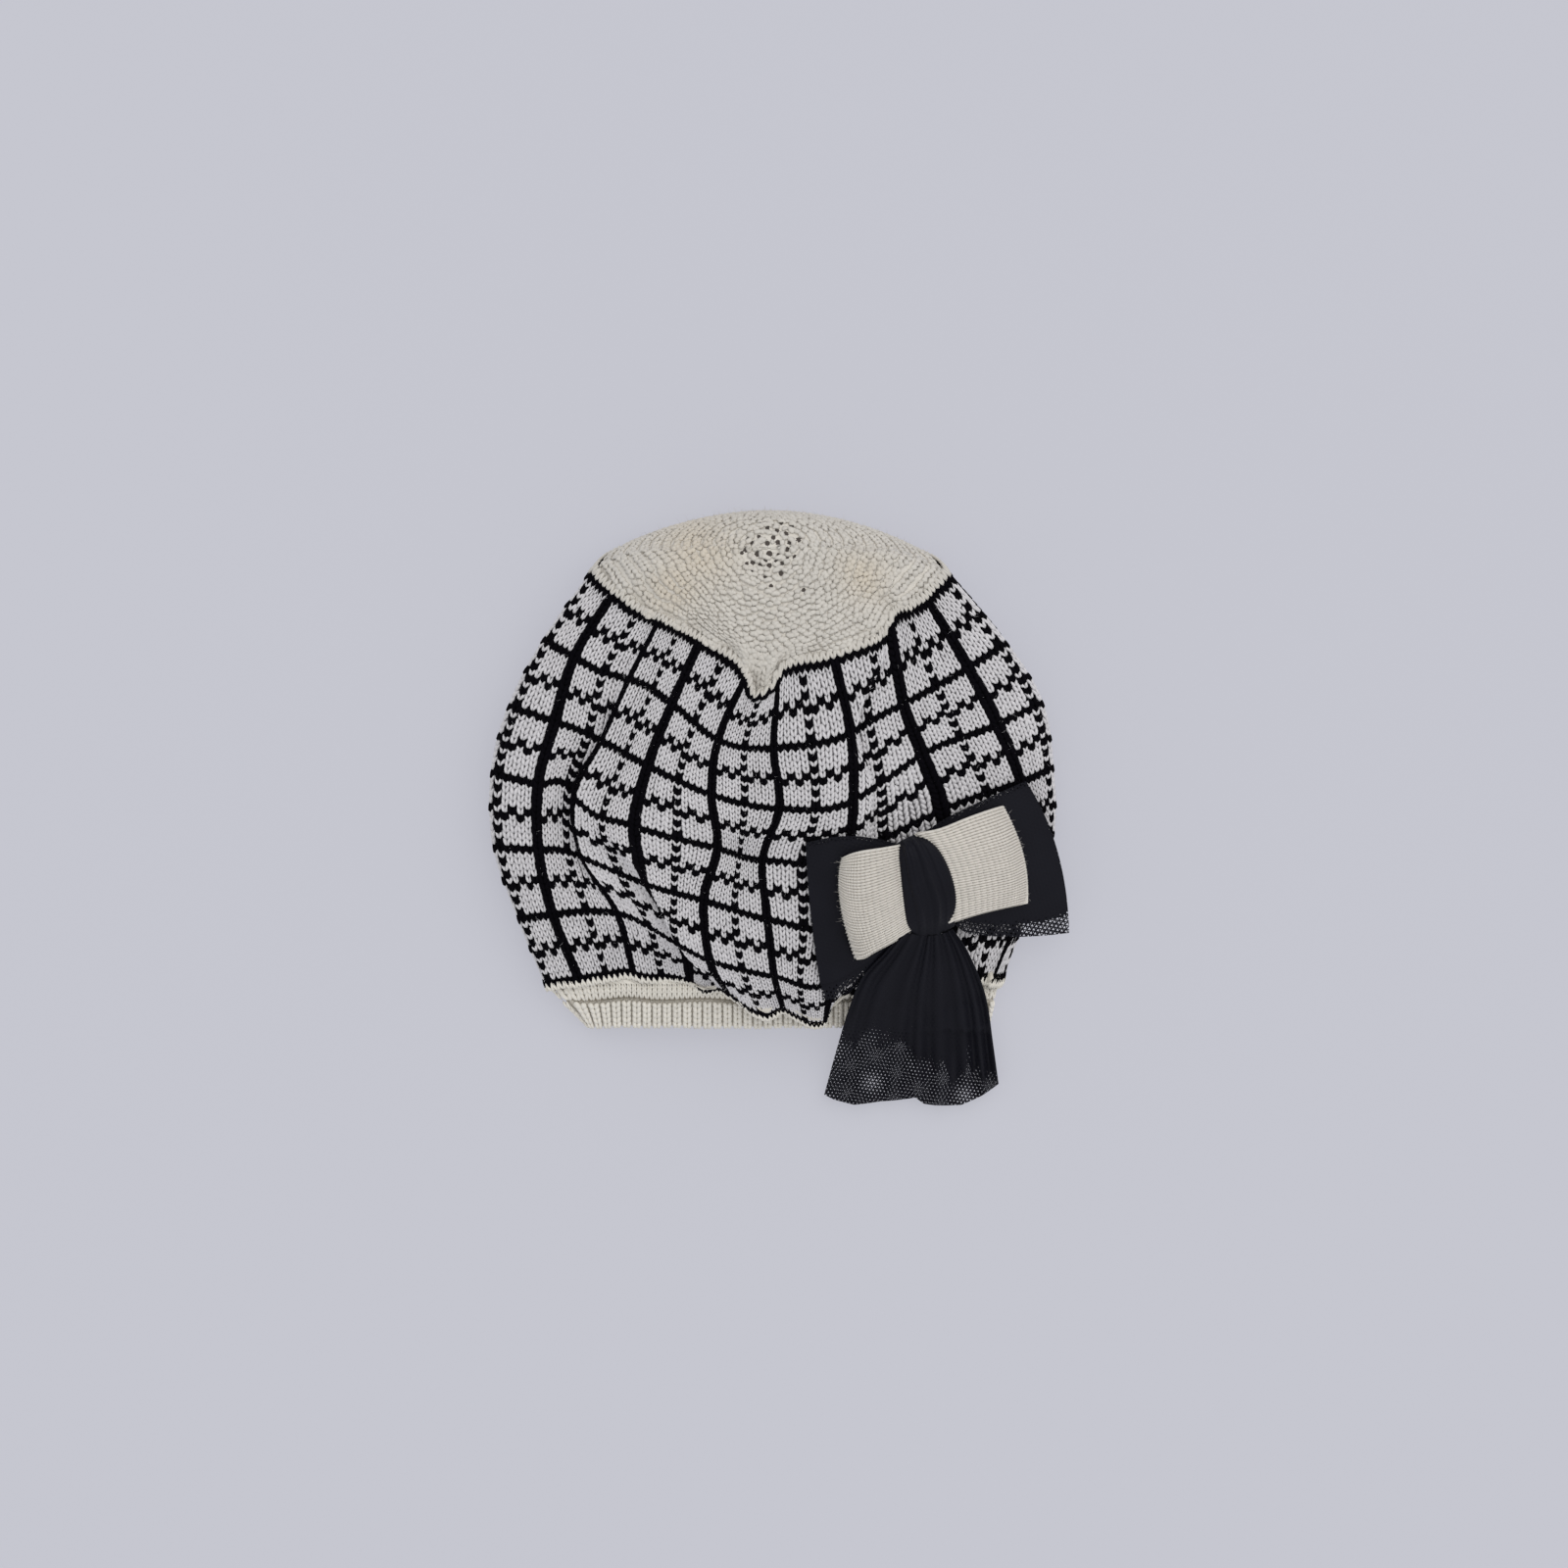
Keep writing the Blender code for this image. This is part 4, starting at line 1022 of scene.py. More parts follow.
def settle(piece, node):
    """The piece rides on the hat and stands for its CAD node, which is hidden."""
    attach(piece, "root")
    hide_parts(node)


# ---------------------------------------------------------------- crown bumps and band ribs

BUMP_WIDTH = 0.0028
# The two rounds of bumps in a ridge: place in the ridge, lift in metres, and which way they arch
BumpRound = namedtuple("BumpRound", "place lift arch")
BUMP_ROUNDS = [BumpRound(0.30, 0.00012, 1.0), BumpRound(0.66, 0.00000, -1.0)]
# Ridges at which the number of bumps in a round changes
COUNT_CHANGES = (0, 3, 6, 8, 10, 11, 12, 13, 14)
FIRST_RIDGE = 0.36
FEWEST_BUMPS = 7
# Waves of the ridges: columns that a wave is long, how it leans from ridge to ridge, and its height in ridges
RIDGE_WAVES = [(2.7, 0.5, 0.06), (5.1, -0.4, 0.15), (7.9, 0.35, 0.22), (15.0, 0.15, 0.35)]
# Columns at which the ridges break, and how far they jump there; and how far and wide the notch draws them down
RIDGE_BREAKS = [(2, 0.30), (9, -0.42), (17, 0.38), (25, -0.30), (42, 0.36), (49, -0.44), (57, 0.34), (66, -0.36),
                (73, 0.14)]
BREAK_SPREAD = 2.4
NOTCH_PULL = 1.3
NOTCH_PULL_REACH = 7.0
# How unevenly the bumps lie: in ridges and in columns, and how much more so near the centre
CENTRE_REACH = 3.5
RIDGE_SCATTER = (0.035, 0.13)
COLUMN_SCATTER = (0.09, 0.14)
BUMP_SCATTER = 0.08

# Plain stitches in the notch: rows of the crown, and columns
NOTCH_ROWS = (-0.62, -1.17, -1.72, -2.27)
NOTCH_COLUMNS = (32, 34, 36, 38, 40)
# Columns of the rounds that go all the way round the hat
ALL_COLUMNS = np.arange(-6, 154, dtype=float)

# Places where the crown's yarn has a warmer tint: pixel across, pixel down and reach in pixels
WARM_SPOTS = [(712, 565, 38), (690, 600, 26), (880, 590, 24)]

# Small holes round the crown's centre where the yarn is drawn together: pixel across, pixel down, half width
Hole = namedtuple("Hole", "px py half")
HOLES = [Hole(*hole) for hole in (
    (768, 554, 1.7), (783, 554, 1.8), (789, 548, 1.5), (794, 553, 1.8), (802, 544, 1.9), (793, 541, 1.4),
    (803, 560, 2.0), (794, 566, 1.2), (785, 565, 2.3), (773, 565, 2.1), (761, 561, 1.6), (757, 564, 1.1),
    (768, 574, 1.6), (776, 576, 1.6), (781, 572, 1.3), (785, 577, 1.8), (792, 573, 1.4), (798, 575, 1.4),
    (803, 569, 1.3), (811, 568, 1.4), (815, 550, 1.6), (806, 553, 1.5), (797, 585, 1.7), (781, 589, 1.5),
    (783, 538, 1.5), (808, 536, 1.2), (797, 533, 1.1), (768, 583, 1.1), (762, 575, 1.1), (820, 602, 1.2),
    (774, 547, 1.1), (763, 549, 1.0), (787, 598, 1.2), (812, 577, 1.0), (820, 560, 1.0))]
HOLE_HEIGHT = 0.052
HOLE_RIM = 0.00075
HOLE_FADE = 1.7
HOLE_CLEAR = 0.0006
# The crown's wall is painted dark as shade this far beyond each hole's half width
HOLE_SHADE = 0.0004


def hole_spot(hole):
    """Plan position of a hole, at the crown's own height."""
    return under_camera([*on_photo(hole.px, hole.py), HOLE_HEIGHT])[:2]


def lead_round_holes(legs, sides):
    """Move each ring of a bump aside as a whole, so that bumps run round the holes; tell which cross none."""
    rings = legs[:, 1:-1].reshape(len(legs), -1, sides, 3)
    centres = np.concatenate([legs[:, :1], rings.mean(axis=2), legs[:, -1:]], 1)[..., :2]
    kept = np.ones(len(legs), bool)
    shift = np.zeros_like(centres)
    for hole in HOLES:
        away = centres - hole_spot(hole)
        between = (away[:, 1:] + away[:, :-1]) / 2
        reach = np.linalg.norm(away, axis=-1, keepdims=True).clip(1e-6)
        nearest = np.minimum(reach.min(axis=(1, 2)), np.linalg.norm(between, axis=-1).min(axis=1))
        kept &= nearest > HOLE_CLEAR
        wanted = hole.half * PIXEL + HOLE_RIM
        pushed = np.sqrt(reach ** 2 + wanted ** 2 * bell(reach, HOLE_FADE * wanted))
        shift += away / reach * (pushed - reach)
    legs[:, 0, :2] += shift[:, 0]
    legs[:, -1, :2] += shift[:, -1]
    legs[:, 1:-1, :2] += np.repeat(shift[:, 1:-1], sides, axis=1)
    return kept


def even_columns(cloth, row, count, start):
    """Columns at even steps round one row of the cloth, and its girth."""
    walked = walked_along(read_cloth(cloth, cloth.columns, np.full(len(cloth.columns), row))[0])
    shares = np.mod((np.arange(count) + start) / count, 1.0)
    return np.interp(np.sort(shares) * walked[-1], walked, cloth.columns), walked[-1]


def ridge_shift(column, row, calm, inward):
    """How far the ridges run off their rows: breaks, waves, and the pull of the notch."""
    breaks = sum(jump * ease((column - at) / BREAK_SPREAD + 0.5) for at, jump in RIDGE_BREAKS)
    pull = ease((-row - 2.0) / 4) * ease(inward / 8) * bell(column - NOTCH_COLUMN, NOTCH_PULL_REACH)
    shift = calm * ease(-row / 2) * breaks + NOTCH_PULL * pull
    for length, pace, reach in RIDGE_WAVES:
        shift = shift + reach * calm * np.sin(column / length + pace * row)
    return shift


def crown_bumps(cloth, material):
    """Ridges of raised purl bumps from the seam to the crown's centre, drawn in round its ring of holes."""
    chance = np.random.default_rng(11)
    bumps = []
    for first, last in zip(COUNT_CHANGES[:-1], COUNT_CHANGES[1:]):
        _, girth = even_columns(cloth, -(0.5 * (first + last) + FIRST_RIDGE), 1, 0.0)
        count = max(FEWEST_BUMPS, round(girth / BUMP_WIDTH))
        start = chance.random()
        for ridge in range(first, last):
            for number, bump_round in enumerate(BUMP_ROUNDS):
                row = max(-(ridge + FIRST_RIDGE + bump_round.place), cloth.rows[0])
                column, _ = even_columns(cloth, row, count, start + 0.5 * number)
                width = np.gradient(np.unwrap(column, period=ROUND))
                shown = (row <= NOTCH_ROWS[-1] - 0.5) | ~in_notch(column)
                bumps.append(np.stack([column, 0 * column + row, width, 0 * column + number], 1)[shown])
    column, row, width, number = np.concatenate(bumps).T
    places, normals = read_cloth(cloth, column, row)
    width = width * (1 + BUMP_SCATTER * wobble(chance, len(column)))
    inward = CROWN_RIDGES + row
    near = np.exp(-inward / CENTRE_REACH)
    row = row + ridge_shift(column, row, ease((inward - 1.5) / 5), inward)
    row = row + (RIDGE_SCATTER[0] + RIDGE_SCATTER[1] * near) * wobble(chance, len(row))
    column = column + (COLUMN_SCATTER[0] + COLUMN_SCATTER[1] * near) * width * wobble(chance, len(row))
    row = np.maximum(row, cloth.rows[0])
    order = [np.flatnonzero(number == which) for which in range(len(BUMP_ROUNDS))]
    legs = np.concatenate([
        yarn_legs(cloth, column[up], row[up], width[up], PURL_BUMP, SIDES, 1.0, bump_round.arch, True)
        + normals[up][:, None] * bump_round.lift for bump_round, up in zip(BUMP_ROUNDS, order)])
    order = np.concatenate(order)
    kept = lead_round_holes(legs, SIDES)
    piece = yarn_piece("crown_bumps", legs[kept], SIDES, material, chance.uniform(0, 1, len(column))[order][kept])
    warm = np.zeros(len(column))
    for px, py, reach in WARM_SPOTS:
        away = np.linalg.norm(places[:, :2] - on_photo(px, py), axis=1)
        warm = np.maximum(warm, bell(away, reach * PIXEL))
    give_values(piece.data, "warm", "POINT", np.repeat(warm[order][kept], legs.shape[1]))
    return piece


SEAM_ROUND = -0.98
SEAM_SCATTER = 0.08
SEAM_LIFT = 0.0006
SEAM_SIZE = 1.15
NOTCH_WIDTH = 2.0
NOTCH_HEIGHT = 1.9
NOTCH_TIPS = 0.1
NOTCH_CROWN_HEIGHT = 0.6


def crown_seam(cloth, crown, material):
    """The plain round that joins the crown to the body, and the plain stitches above it in the notch."""
    chance = np.random.default_rng(13)
    row = SEAM_ROUND + SEAM_SCATTER * wobble(chance, len(ALL_COLUMNS))
    shown = ~in_notch(ALL_COLUMNS) | (ALL_COLUMNS % 2 == 0)
    column, row = ALL_COLUMNS[shown], row[shown]
    notched = in_notch(column)
    tints = [np.tile(chance.uniform(0, 1, len(column)), 2)]
    legs = [both_legs(cloth, column, row + np.where(notched, NOTCH_TIPS, 0.0),
                      np.where(notched, NOTCH_WIDTH, SEAM_SIZE), BLACK_LEG,
                      height=np.where(notched, NOTCH_HEIGHT, SEAM_SIZE), lift=SEAM_LIFT)]
    column, row = stitch_grid(NOTCH_COLUMNS, NOTCH_ROWS)
    tints.append(chance.uniform(0, 1, 2 * len(column)))
    legs.append(both_legs(crown, column, row, NOTCH_WIDTH, BLACK_LEG, height=NOTCH_CROWN_HEIGHT))
    return yarn_piece("crown_seam", np.concatenate(legs), SIDES, material, np.concatenate(tints))


# The notch's low end: cream arms that reach down into a black zigzag
ARM_LEG = [
    Bend(-0.42, -0.45, 0.20, 0.00005),
    Bend(-0.28, 0.05, 0.22, 0.00040),
    Bend(-0.15, 0.50, 0.17, 0.00040),
    Bend(-0.07, 0.85, 0.11, 0.00030),
    Bend(-0.03, 1.10, 0.05, 0.00010),
]
NOTCH_ARMS = np.array([32.5, 34.2, 36.0, 37.8])
NotchRound = namedtuple("NotchRound", "name row bends width height lift")
NOTCH_ZIGZAG = NotchRound("notch_zigzag", 0.10, BLACK_LEG, 2.2, 1.35, 0.0010)
NOTCH_ARM_ROUND = NotchRound("notch_arms", -0.75, ARM_LEG, 1.75, 1.4, 0.0015)


def notch_edge(notch_round, cloth, material):
    """One round of the big stitches at the low end of the crown's notch."""
    legs = both_legs(cloth, NOTCH_ARMS, np.full(len(NOTCH_ARMS), notch_round.row), notch_round.width,
                     notch_round.bends, height=notch_round.height, lift=notch_round.lift)
    return yarn_piece(notch_round.name, legs, SIDES, material, np.tile(np.linspace(0.3, 0.7, len(NOTCH_ARMS)), 2))


TIP_ROUND = 66.86
TIP_SCATTER = 0.10
TIP_SIZE = (1.05, 1.1)
TIP_LIFT = 0.0005


def edge_tips(cloth, material):
    """The band's first round of cream stitches, whose arms reach up between the body's last black ones."""
    chance = np.random.default_rng(14)
    row = TIP_ROUND + TIP_SCATTER * wobble(chance, len(ALL_COLUMNS))
    legs = both_legs(cloth, ALL_COLUMNS, row, TIP_SIZE[0], TIP_LEG, height=TIP_SIZE[1], lift=TIP_LIFT)
    return yarn_piece("band_tips", legs, SIDES, material, np.tile(chance.uniform(0, 1, len(ALL_COLUMNS)), 2))


ROLL_ROWS = (66.95, 67.8, 68.65)
ROLL_STITCH = (1.18, 1.1)
# Rows between which the band's wall is painted dark as the crease's shade
CREASE = (69.40, 69.62)
RIB_WIDTH = 1.80
RIB_STITCH = 0.8
RIB_START = 70.24
RIB_ROUNDS = 5
RIB_LIFT = 0.0004


def band_stitches(cloth, material):
    """Three rounds of plain stitches on the band's roll, then its ribs, one for every second column."""
    chance = np.random.default_rng(12)
    plain = stitch_grid(ALL_COLUMNS, ROLL_ROWS)
    ribs = stitch_grid(ALL_COLUMNS[::2], RIB_START + RIB_STITCH * np.arange(RIB_ROUNDS))
    tints = np.concatenate([np.tile(chance.uniform(0, 1, len(column)), 2) for column, _ in (plain, ribs)])
    legs = np.concatenate([both_legs(cloth, *plain, ROLL_STITCH[0], KNIT_LEG, height=ROLL_STITCH[1]),
                           both_legs(cloth, *ribs, RIB_WIDTH, RIB_LEG, height=RIB_STITCH, lift=RIB_LIFT)])
    return yarn_piece("band_stitches", legs, SIDES, material, tints)


# ---------------------------------------------------------------- the bow

# Outlines of the bow's pieces on the photograph. Each row runs from the knot outwards or from the top
# down, and gives the pixels of its upper or left edge, its middle and its lower or right edge.
LEFT_WING = [(916, 861, 921, 905, 926, 952), (895, 856, 896, 915, 903, 985), (870, 853, 868, 925, 873, 1008),
             (845, 855, 847, 935, 854, 1018), (822, 860, 828, 940, 840, 1021)]
RIGHT_WING = [(940, 851, 968, 893, 973, 943), (967, 834, 983, 895, 990, 953), (1000, 818, 1020, 890, 1028, 956),
              (1026, 806, 1052, 882, 1062, 955), (1047, 797, 1079, 868, 1091, 952)]
LEFT_LOOP = [(918, 862, 924, 908, 930, 950), (900, 865, 905, 917, 912, 961), (880, 868, 882, 925, 893, 971),
             (868, 871, 866, 924, 882, 977), (859, 875, 857, 918, 873, 978)]
RIGHT_LOOP = [(936, 851, 962, 893, 966, 943), (960, 845, 982, 890, 988, 936), (985, 835, 1006, 885, 1010, 930),
              (1007, 827, 1030, 879, 1032, 925), (1023, 822, 1044, 872, 1048, 921)]
KNOT = [(915, 861, 927, 854, 942, 850), (918, 885, 938, 872, 962, 868), (920, 908, 945, 898, 974, 889),
        (923, 932, 950, 925, 979, 917), (926, 954, 950, 956, 974, 945)]
TAIL = [(922, 950, 948, 955, 972, 948), (903, 972, 945, 978, 985, 966), (880, 997, 940, 1010, 1000, 998),
        (866, 1030, 938, 1040, 1008, 1026), (855, 1066, 937, 1078, 1013, 1062), (841, 1116, 934, 1124, 1019, 1106)]


def patch(rows, along, across):
    """Plan positions on a piece of the bow; along and across run from 0 to 1."""
    table = np.array(rows, float)
    read = smooth_read(np.linspace(0, 1, len(table)), table, np.asarray(along, float).ravel())
    w = np.asarray(across, float).ravel()[:, None]
    spot = (read[:, 0:2] * (1 - w) * (1 - 2 * w) + read[:, 2:4] * 4 * w * (1 - w)
            + read[:, 4:6] * w * (2 * w - 1))
    return np.stack(on_photo(spot[:, 0], spot[:, 1]), 1)


def fitted_height(node, across_power, along_power):
    """Smooth height of a CAD node as a function of the plan position."""
    points = np.array([vertex.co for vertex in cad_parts[node].data.vertices])
    middle = points[:, :2].mean(axis=0)

    def terms(plan):
        u, w = ((plan - middle) / 0.1).T
        return np.stack([u ** i * w ** j for i in range(across_power + 1) for j in range(along_power + 1)], 1)

    share = np.linalg.lstsq(terms(points[:, :2]), points[:, 2], rcond=None)[0]
    return lambda plan: terms(plan) @ share


def sheet_piece(name, across, along, place, material):
    """A grid of cloth shaped by a function of its two shares, with a pattern in millimetres on it."""
    bpy.ops.object.select_all(action="DESELECT")
    bpy.ops.mesh.primitive_grid_add(x_subdivisions=across, y_subdivisions=along, size=1.0)
    piece = bpy.context.object
    piece.name = name
    mesh = piece.data
    flat = np.empty(3 * len(mesh.vertices), np.float32)
    mesh.vertices.foreach_get("co", flat)
    shares = flat.reshape(-1, 3)[:, :2].astype(float) + 0.5
    points, pattern, closed = place(shares[:, 1], shares[:, 0])
    mesh.vertices.foreach_set("co", points.astype(np.float32).ravel())
    corner = np.empty(len(mesh.loops), np.int32)
    mesh.loops.foreach_get("vertex_index", corner)
    mesh.uv_layers[0].name = "net"
    mesh.uv_layers[0].data.foreach_set("uv", pattern[corner].astype(np.float32).ravel())
    give_values(mesh, "closed", "POINT", closed)
    mesh.polygons.foreach_set("use_smooth", np.ones(len(mesh.polygons), bool))
    mesh.update()
    if sum(face.normal.z * face.area for face in mesh.polygons) < 0:
        mesh.flip_normals()
    mesh.materials.append(material)
    return piece


NET_TURNS = (0.35, 0.42, 0.27)
NET_RIPPLE = 0.0004
NET_FLOOR = 0.0008
CLEAR_OF_HAT = 0.0028
HAT_PROBE = 0.0018


def hat_finder(pieces):
    """The hat's height under places in plan, far below the floor where it isn't."""
    vertices, faces = [], []
    for piece in pieces:
        first = len(vertices)
        vertices += [vertex.co.copy() for vertex in piece.data.vertices]
        faces += [[first + corner for corner in face.vertices] for face in piece.data.polygons]
    tree = BVHTree.FromPolygons(vertices, faces)

    def height(plan):
        highest = np.full(len(plan), -1.0)
        for probe in ((0, 0), (1, 0), (-1, 0), (0, 1), (0, -1)):
            spots = plan + HAT_PROBE * np.array(probe)
            hits = [tree.ray_cast((x, y, 2 * HEIGHT), (0.0, 0.0, -1.0))[0] for x, y in spots]
            highest = np.maximum(highest, [-1.0 if hit is None else hit.z for hit in hits])
        return highest

    return height


def net_layer(name, rows, height, hat, lift, turn, material, closed_share, reach=1.0, divisions=(48, 36),
              pleats=0, hem=((0, 0), (1, 0))):
    """One layer of net on the bow: lift raises it, reach cuts it short across, closed_share says where it looks
    closed, pleats how many run down it, and hem how far its low edge hangs down."""

    def place(along, across):
        across = across * reach
        drop = np.interp(across, *np.array(hem, float).T)
        plan = patch(rows, along, across) - np.stack([0 * along, drop * PIXEL * along ** 8], 1)
        z = np.maximum(height(plan), hat(plan) + CLEAR_OF_HAT) + lift
        z = z + NET_RIPPLE * np.sin(108 * plan[:, 0] + 3 * turn) * np.cos(84 * plan[:, 1] + turn)
        if pleats:
            swing = across + 0.05 * np.sin(5 * across + 1) + 0.02 * np.sin(13 * across)
            z = z + PLEAT_HEIGHT * (0.35 + 0.65 * along) * np.cos(2 * math.pi * pleats * swing + turn)
        points = under_camera(np.column_stack([plan, np.maximum(z, NET_FLOOR)]))
        angle = np.array([[math.cos(turn), -math.sin(turn)], [math.sin(turn), math.cos(turn)]])
        return points, (plan @ angle) * 1000, closed_share(along, across)

    return sheet_piece(name, *divisions, place, material)


LOOP_COLUMNS = 18
LOOP_ROWS = 15
LOOP_TURN = 5
LOOP_LENGTH = 2 * LOOP_ROWS + LOOP_TURN
LOOP_SAMPLES = 96
LOOP_BASE = 0.0016
LOOP_PUFF = 0.0095
LOOP_DEPTH = 0.0004
LOOP_WALL_DEPTH = 0.0003
LOOP_WALL_THICKNESS = 0.0007
LOOP_STITCH = (0.97, 0.85)
LOOP_PITCH = 0.8


def lay_loop(rows, height, flip):
    """Cloth of one knit loop: out over the front, round its folded end and back underneath."""
    columns = np.linspace(0.0, LOOP_COLUMNS, 2 * LOOP_COLUMNS + 1)
    stitch_rows = np.linspace(-1.0, LOOP_LENGTH, LOOP_SAMPLES)
    across = columns / LOOP_COLUMNS if flip else 1 - columns / LOOP_COLUMNS
    rounded = 1 - 0.25 * (2 * across - 1) ** 4
    points = []
    for walk in (stitch_rows / LOOP_LENGTH).clip(-0.03, 1.0):
        out = 0.9 * walk if walk < 0 else np.sin(math.pi * walk) ** 0.8
        side = np.cos(math.pi * walk)
        swell = LOOP_PUFF * (0.35 + 0.65 * math.sin(math.pi * min(max(out, 0.0), 1.0) ** 0.8) ** 0.6)
        plan = patch(rows, np.full(len(columns), out), across)
        z = height(plan) + LOOP_BASE + swell / 2 + np.sign(side) * np.abs(side) ** 0.45 * swell / 2 * rounded
        points.append(under_camera(np.column_stack([plan, z])))
    return cloth_from(columns, stitch_rows, np.array(points), LOOP_DEPTH)


def loop_stitches(name, cloth, material, seed):
    column, row = stitch_grid(np.arange(LOOP_COLUMNS) + 0.5, np.arange(0, LOOP_LENGTH, LOOP_PITCH))
    tint = np.random.default_rng(seed).uniform(0, 1, len(column))
    legs = both_legs(cloth, column, row, LOOP_STITCH[0], LOOP_LEG, FEWER_SIDES, LOOP_STITCH[1])
    return yarn_piece(name, legs, FEWER_SIDES, material, np.tile(tint, 2))


def loop_wall(name, cloth, material):
    """The ribbon's own thin wall under its stitches."""
    outer = cloth.points - cloth.normals * LOOP_WALL_DEPTH
    inner = outer - cloth.normals * LOOP_WALL_THICKNESS
    number = np.arange(outer[..., 0].size).reshape(outer.shape[:2])
    shift = number.size
    quads = np.stack([number[:-1, :-1], number[:-1, 1:], number[1:, 1:], number[1:, :-1]], -1).reshape(-1, 4)
    border = np.concatenate([number[0], number[1:, -1], number[-1, -2::-1], number[-2:0:-1, 0]])
    after = np.roll(border, -1)
    rim = np.stack([border + shift, after + shift, after, border], 1)
    vertices = np.concatenate([outer.reshape(-1, 3), inner.reshape(-1, 3)])
    quads = np.concatenate([quads[:, ::-1], quads + shift, rim])
    piece = mesh_piece(name, vertices, quads, np.zeros((0, 3), int), material)
    give_values(piece.data, "shade", "FACE", np.zeros(len(quads)))
    return piece


# Soft pleats of the knot: how many across it, their height in metres and where they start
KNOT_PLEATS = [(3.3, 0.00060, 0.4), (6.1, 0.00030, 2.0), (13.0, 0.00006, 0.0)]
KNOT_HUMP = 0.0095
KNOT_BASE = 0.0015


def knot_place(height):
    """The knot's net: pleats down its length, humped over the bow's waist and turned in at its sides."""

    def place(along, across):
        swing = (1 - np.abs(2 * across - 1) ** 2.4).clip(0, 1)
        plan = patch(KNOT, along, across)
        hump = KNOT_HUMP * (1 - np.abs(2 * along - 1) ** 6) + KNOT_BASE
        z = height(plan) + hump * (0.55 + 0.45 * swing ** 0.5)
        for count, rise, turn in KNOT_PLEATS:
            z = z + rise * np.cos(2 * math.pi * count * (across + 0.04 * np.sin(5 * along)) + turn) * swing ** 0.3
        return under_camera(np.column_stack([plan, z])), plan * 1000, np.ones(len(along))

    return place


# The net's three directions of thread, and how a thread swells where the mesh says that the net looks closed
THREAD_WAYS = ((1.0, 0.0), (0.5, 0.866), (-0.5, 0.866))
SWELL_STRENGTH = 1.7
SWELL_START = -0.75
RAGGED_SCALE = 260.0
RAGGED_SHARE = 0.8
NET_COLORS = ((0.0040, 0.0040, 0.0072, 1.0), (0.0078, 0.0078, 0.0128, 1.0))


def net_group():
    """Open net as a mask over a pattern in millimetres; its threads swell where the net looks closed."""
    tree, start, end = new_group("open net", {"Cell": 1.6, "Open Thread": 0.24, "Closed Thread": 1.02},
                                 {"Mask": 0.0, "Height": 0.0})

    def calc(operation, *values):
        return calculate(tree, operation, *values)

    split = feed(tree, tree.nodes.new("ShaderNodeSeparateXYZ"), {"Vector": mesh_uv(tree, "net")}).outputs
    closed = calc("MULTIPLY_ADD", attribute(tree, "closed"), SWELL_STRENGTH, SWELL_START)
    closed = calc("ADD", closed, calc("MULTIPLY", noise(tree, RAGGED_SCALE), RAGGED_SHARE))
    closed = calc("MINIMUM", calc("MAXIMUM", closed, 0.0), 1.0)
    swell = calc("MULTIPLY", closed, calc("SUBTRACT", start["Closed Thread"], start["Open Thread"]))
    thread = calc("ADD", start["Open Thread"], swell)
    masks, ridges = [], []
    for across, down in THREAD_WAYS:
        slant = calc("ADD", calc("MULTIPLY", split["X"], across), calc("MULTIPLY", split["Y"], down))
        place = calc("FRACT", calc("DIVIDE", slant, start["Cell"]))
        masks.append(calc("LESS_THAN", place, thread))
        ridges.append(calc("PINGPONG", calc("MULTIPLY", place, 2.0), 1.0))
    for label, values in (("Mask", masks), ("Height", ridges)):
        feed(tree, end, {label: calc("MAXIMUM", calc("MAXIMUM", values[0], values[1]), values[2])})
    return tree


def net_material(name, group, cell, open_thread):
    material, tree, shader = new_material(name, roughness=0.5, shine=0.11)
    net = use_group(tree, group, {"Cell": cell, "Open Thread": open_thread})
    feed(tree, shader, {"Base Color": mixed(tree, "RGBA", *NET_COLORS, noise(tree, 60.0)),
                        "Alpha": net["Mask"], "Normal": relief(tree, net["Height"], 0.5, YARN_RELIEF),
                        "Sheen Weight": 0.02})
    return material


# The wings' layers: how high each one lies and how far across it reaches
WING_LAYERS = ((-0.0004, 1.0), (0.0003, 0.87), (0.0010, 0.90))
TAIL_LIFTS = (0.0006, 0.0016)
TAIL_PLEATS = 8
PLEAT_HEIGHT = 0.0018
# How many pixels the tail's hem hangs below its smooth edge, across it
TAIL_HEM = [(0, 1), (0.05, 4), (0.16, 6), (0.30, 0), (0.50, -4), (0.55, 3), (0.62, 6), (0.70, 8), (0.77, 10),
            (0.90, 6), (1, 0)]

# Where across them the wings' lower strips begin to look open, and where the tail's hem has its slit
WING_OPENS = {"left": 0.885, "right": 0.835}
SLIT_PLACE = 0.66
SLIT_WIDTH = 0.03


def wing_closed(side):
    """The wings look closed but for a strip along their lower edge and a hair along the upper one."""

    def closed(along, across):
        strip = 1 - 0.72 * ease((across - WING_OPENS[side]) / 0.06)
        return strip * ease((across - 0.01) / 0.05) * (1 - ease((along - 0.97) / 0.03))

    return closed


def tail_closed(along, across):
    """The tail thins out towards its lower left, in streaks down its pleats and at a slit in its hem."""
    edge = 0.46 + 0.30 * across + 0.05 * np.sin(11 * across + 1) + 0.03 * np.sin(29 * across)
    slit = 0.9 * bell(across - SLIT_PLACE, SLIT_WIDTH) * ease((along - 0.70) / 0.22)
    finger = 0.06 * np.cos(2 * math.pi * (11.3 * across + 0.8 * np.sin(7 * across)))
    return 1 - ease((along - edge) / 0.34) - slit - finger


LOOP_HAIRS = 150
FINE_GRID = (120, 60)


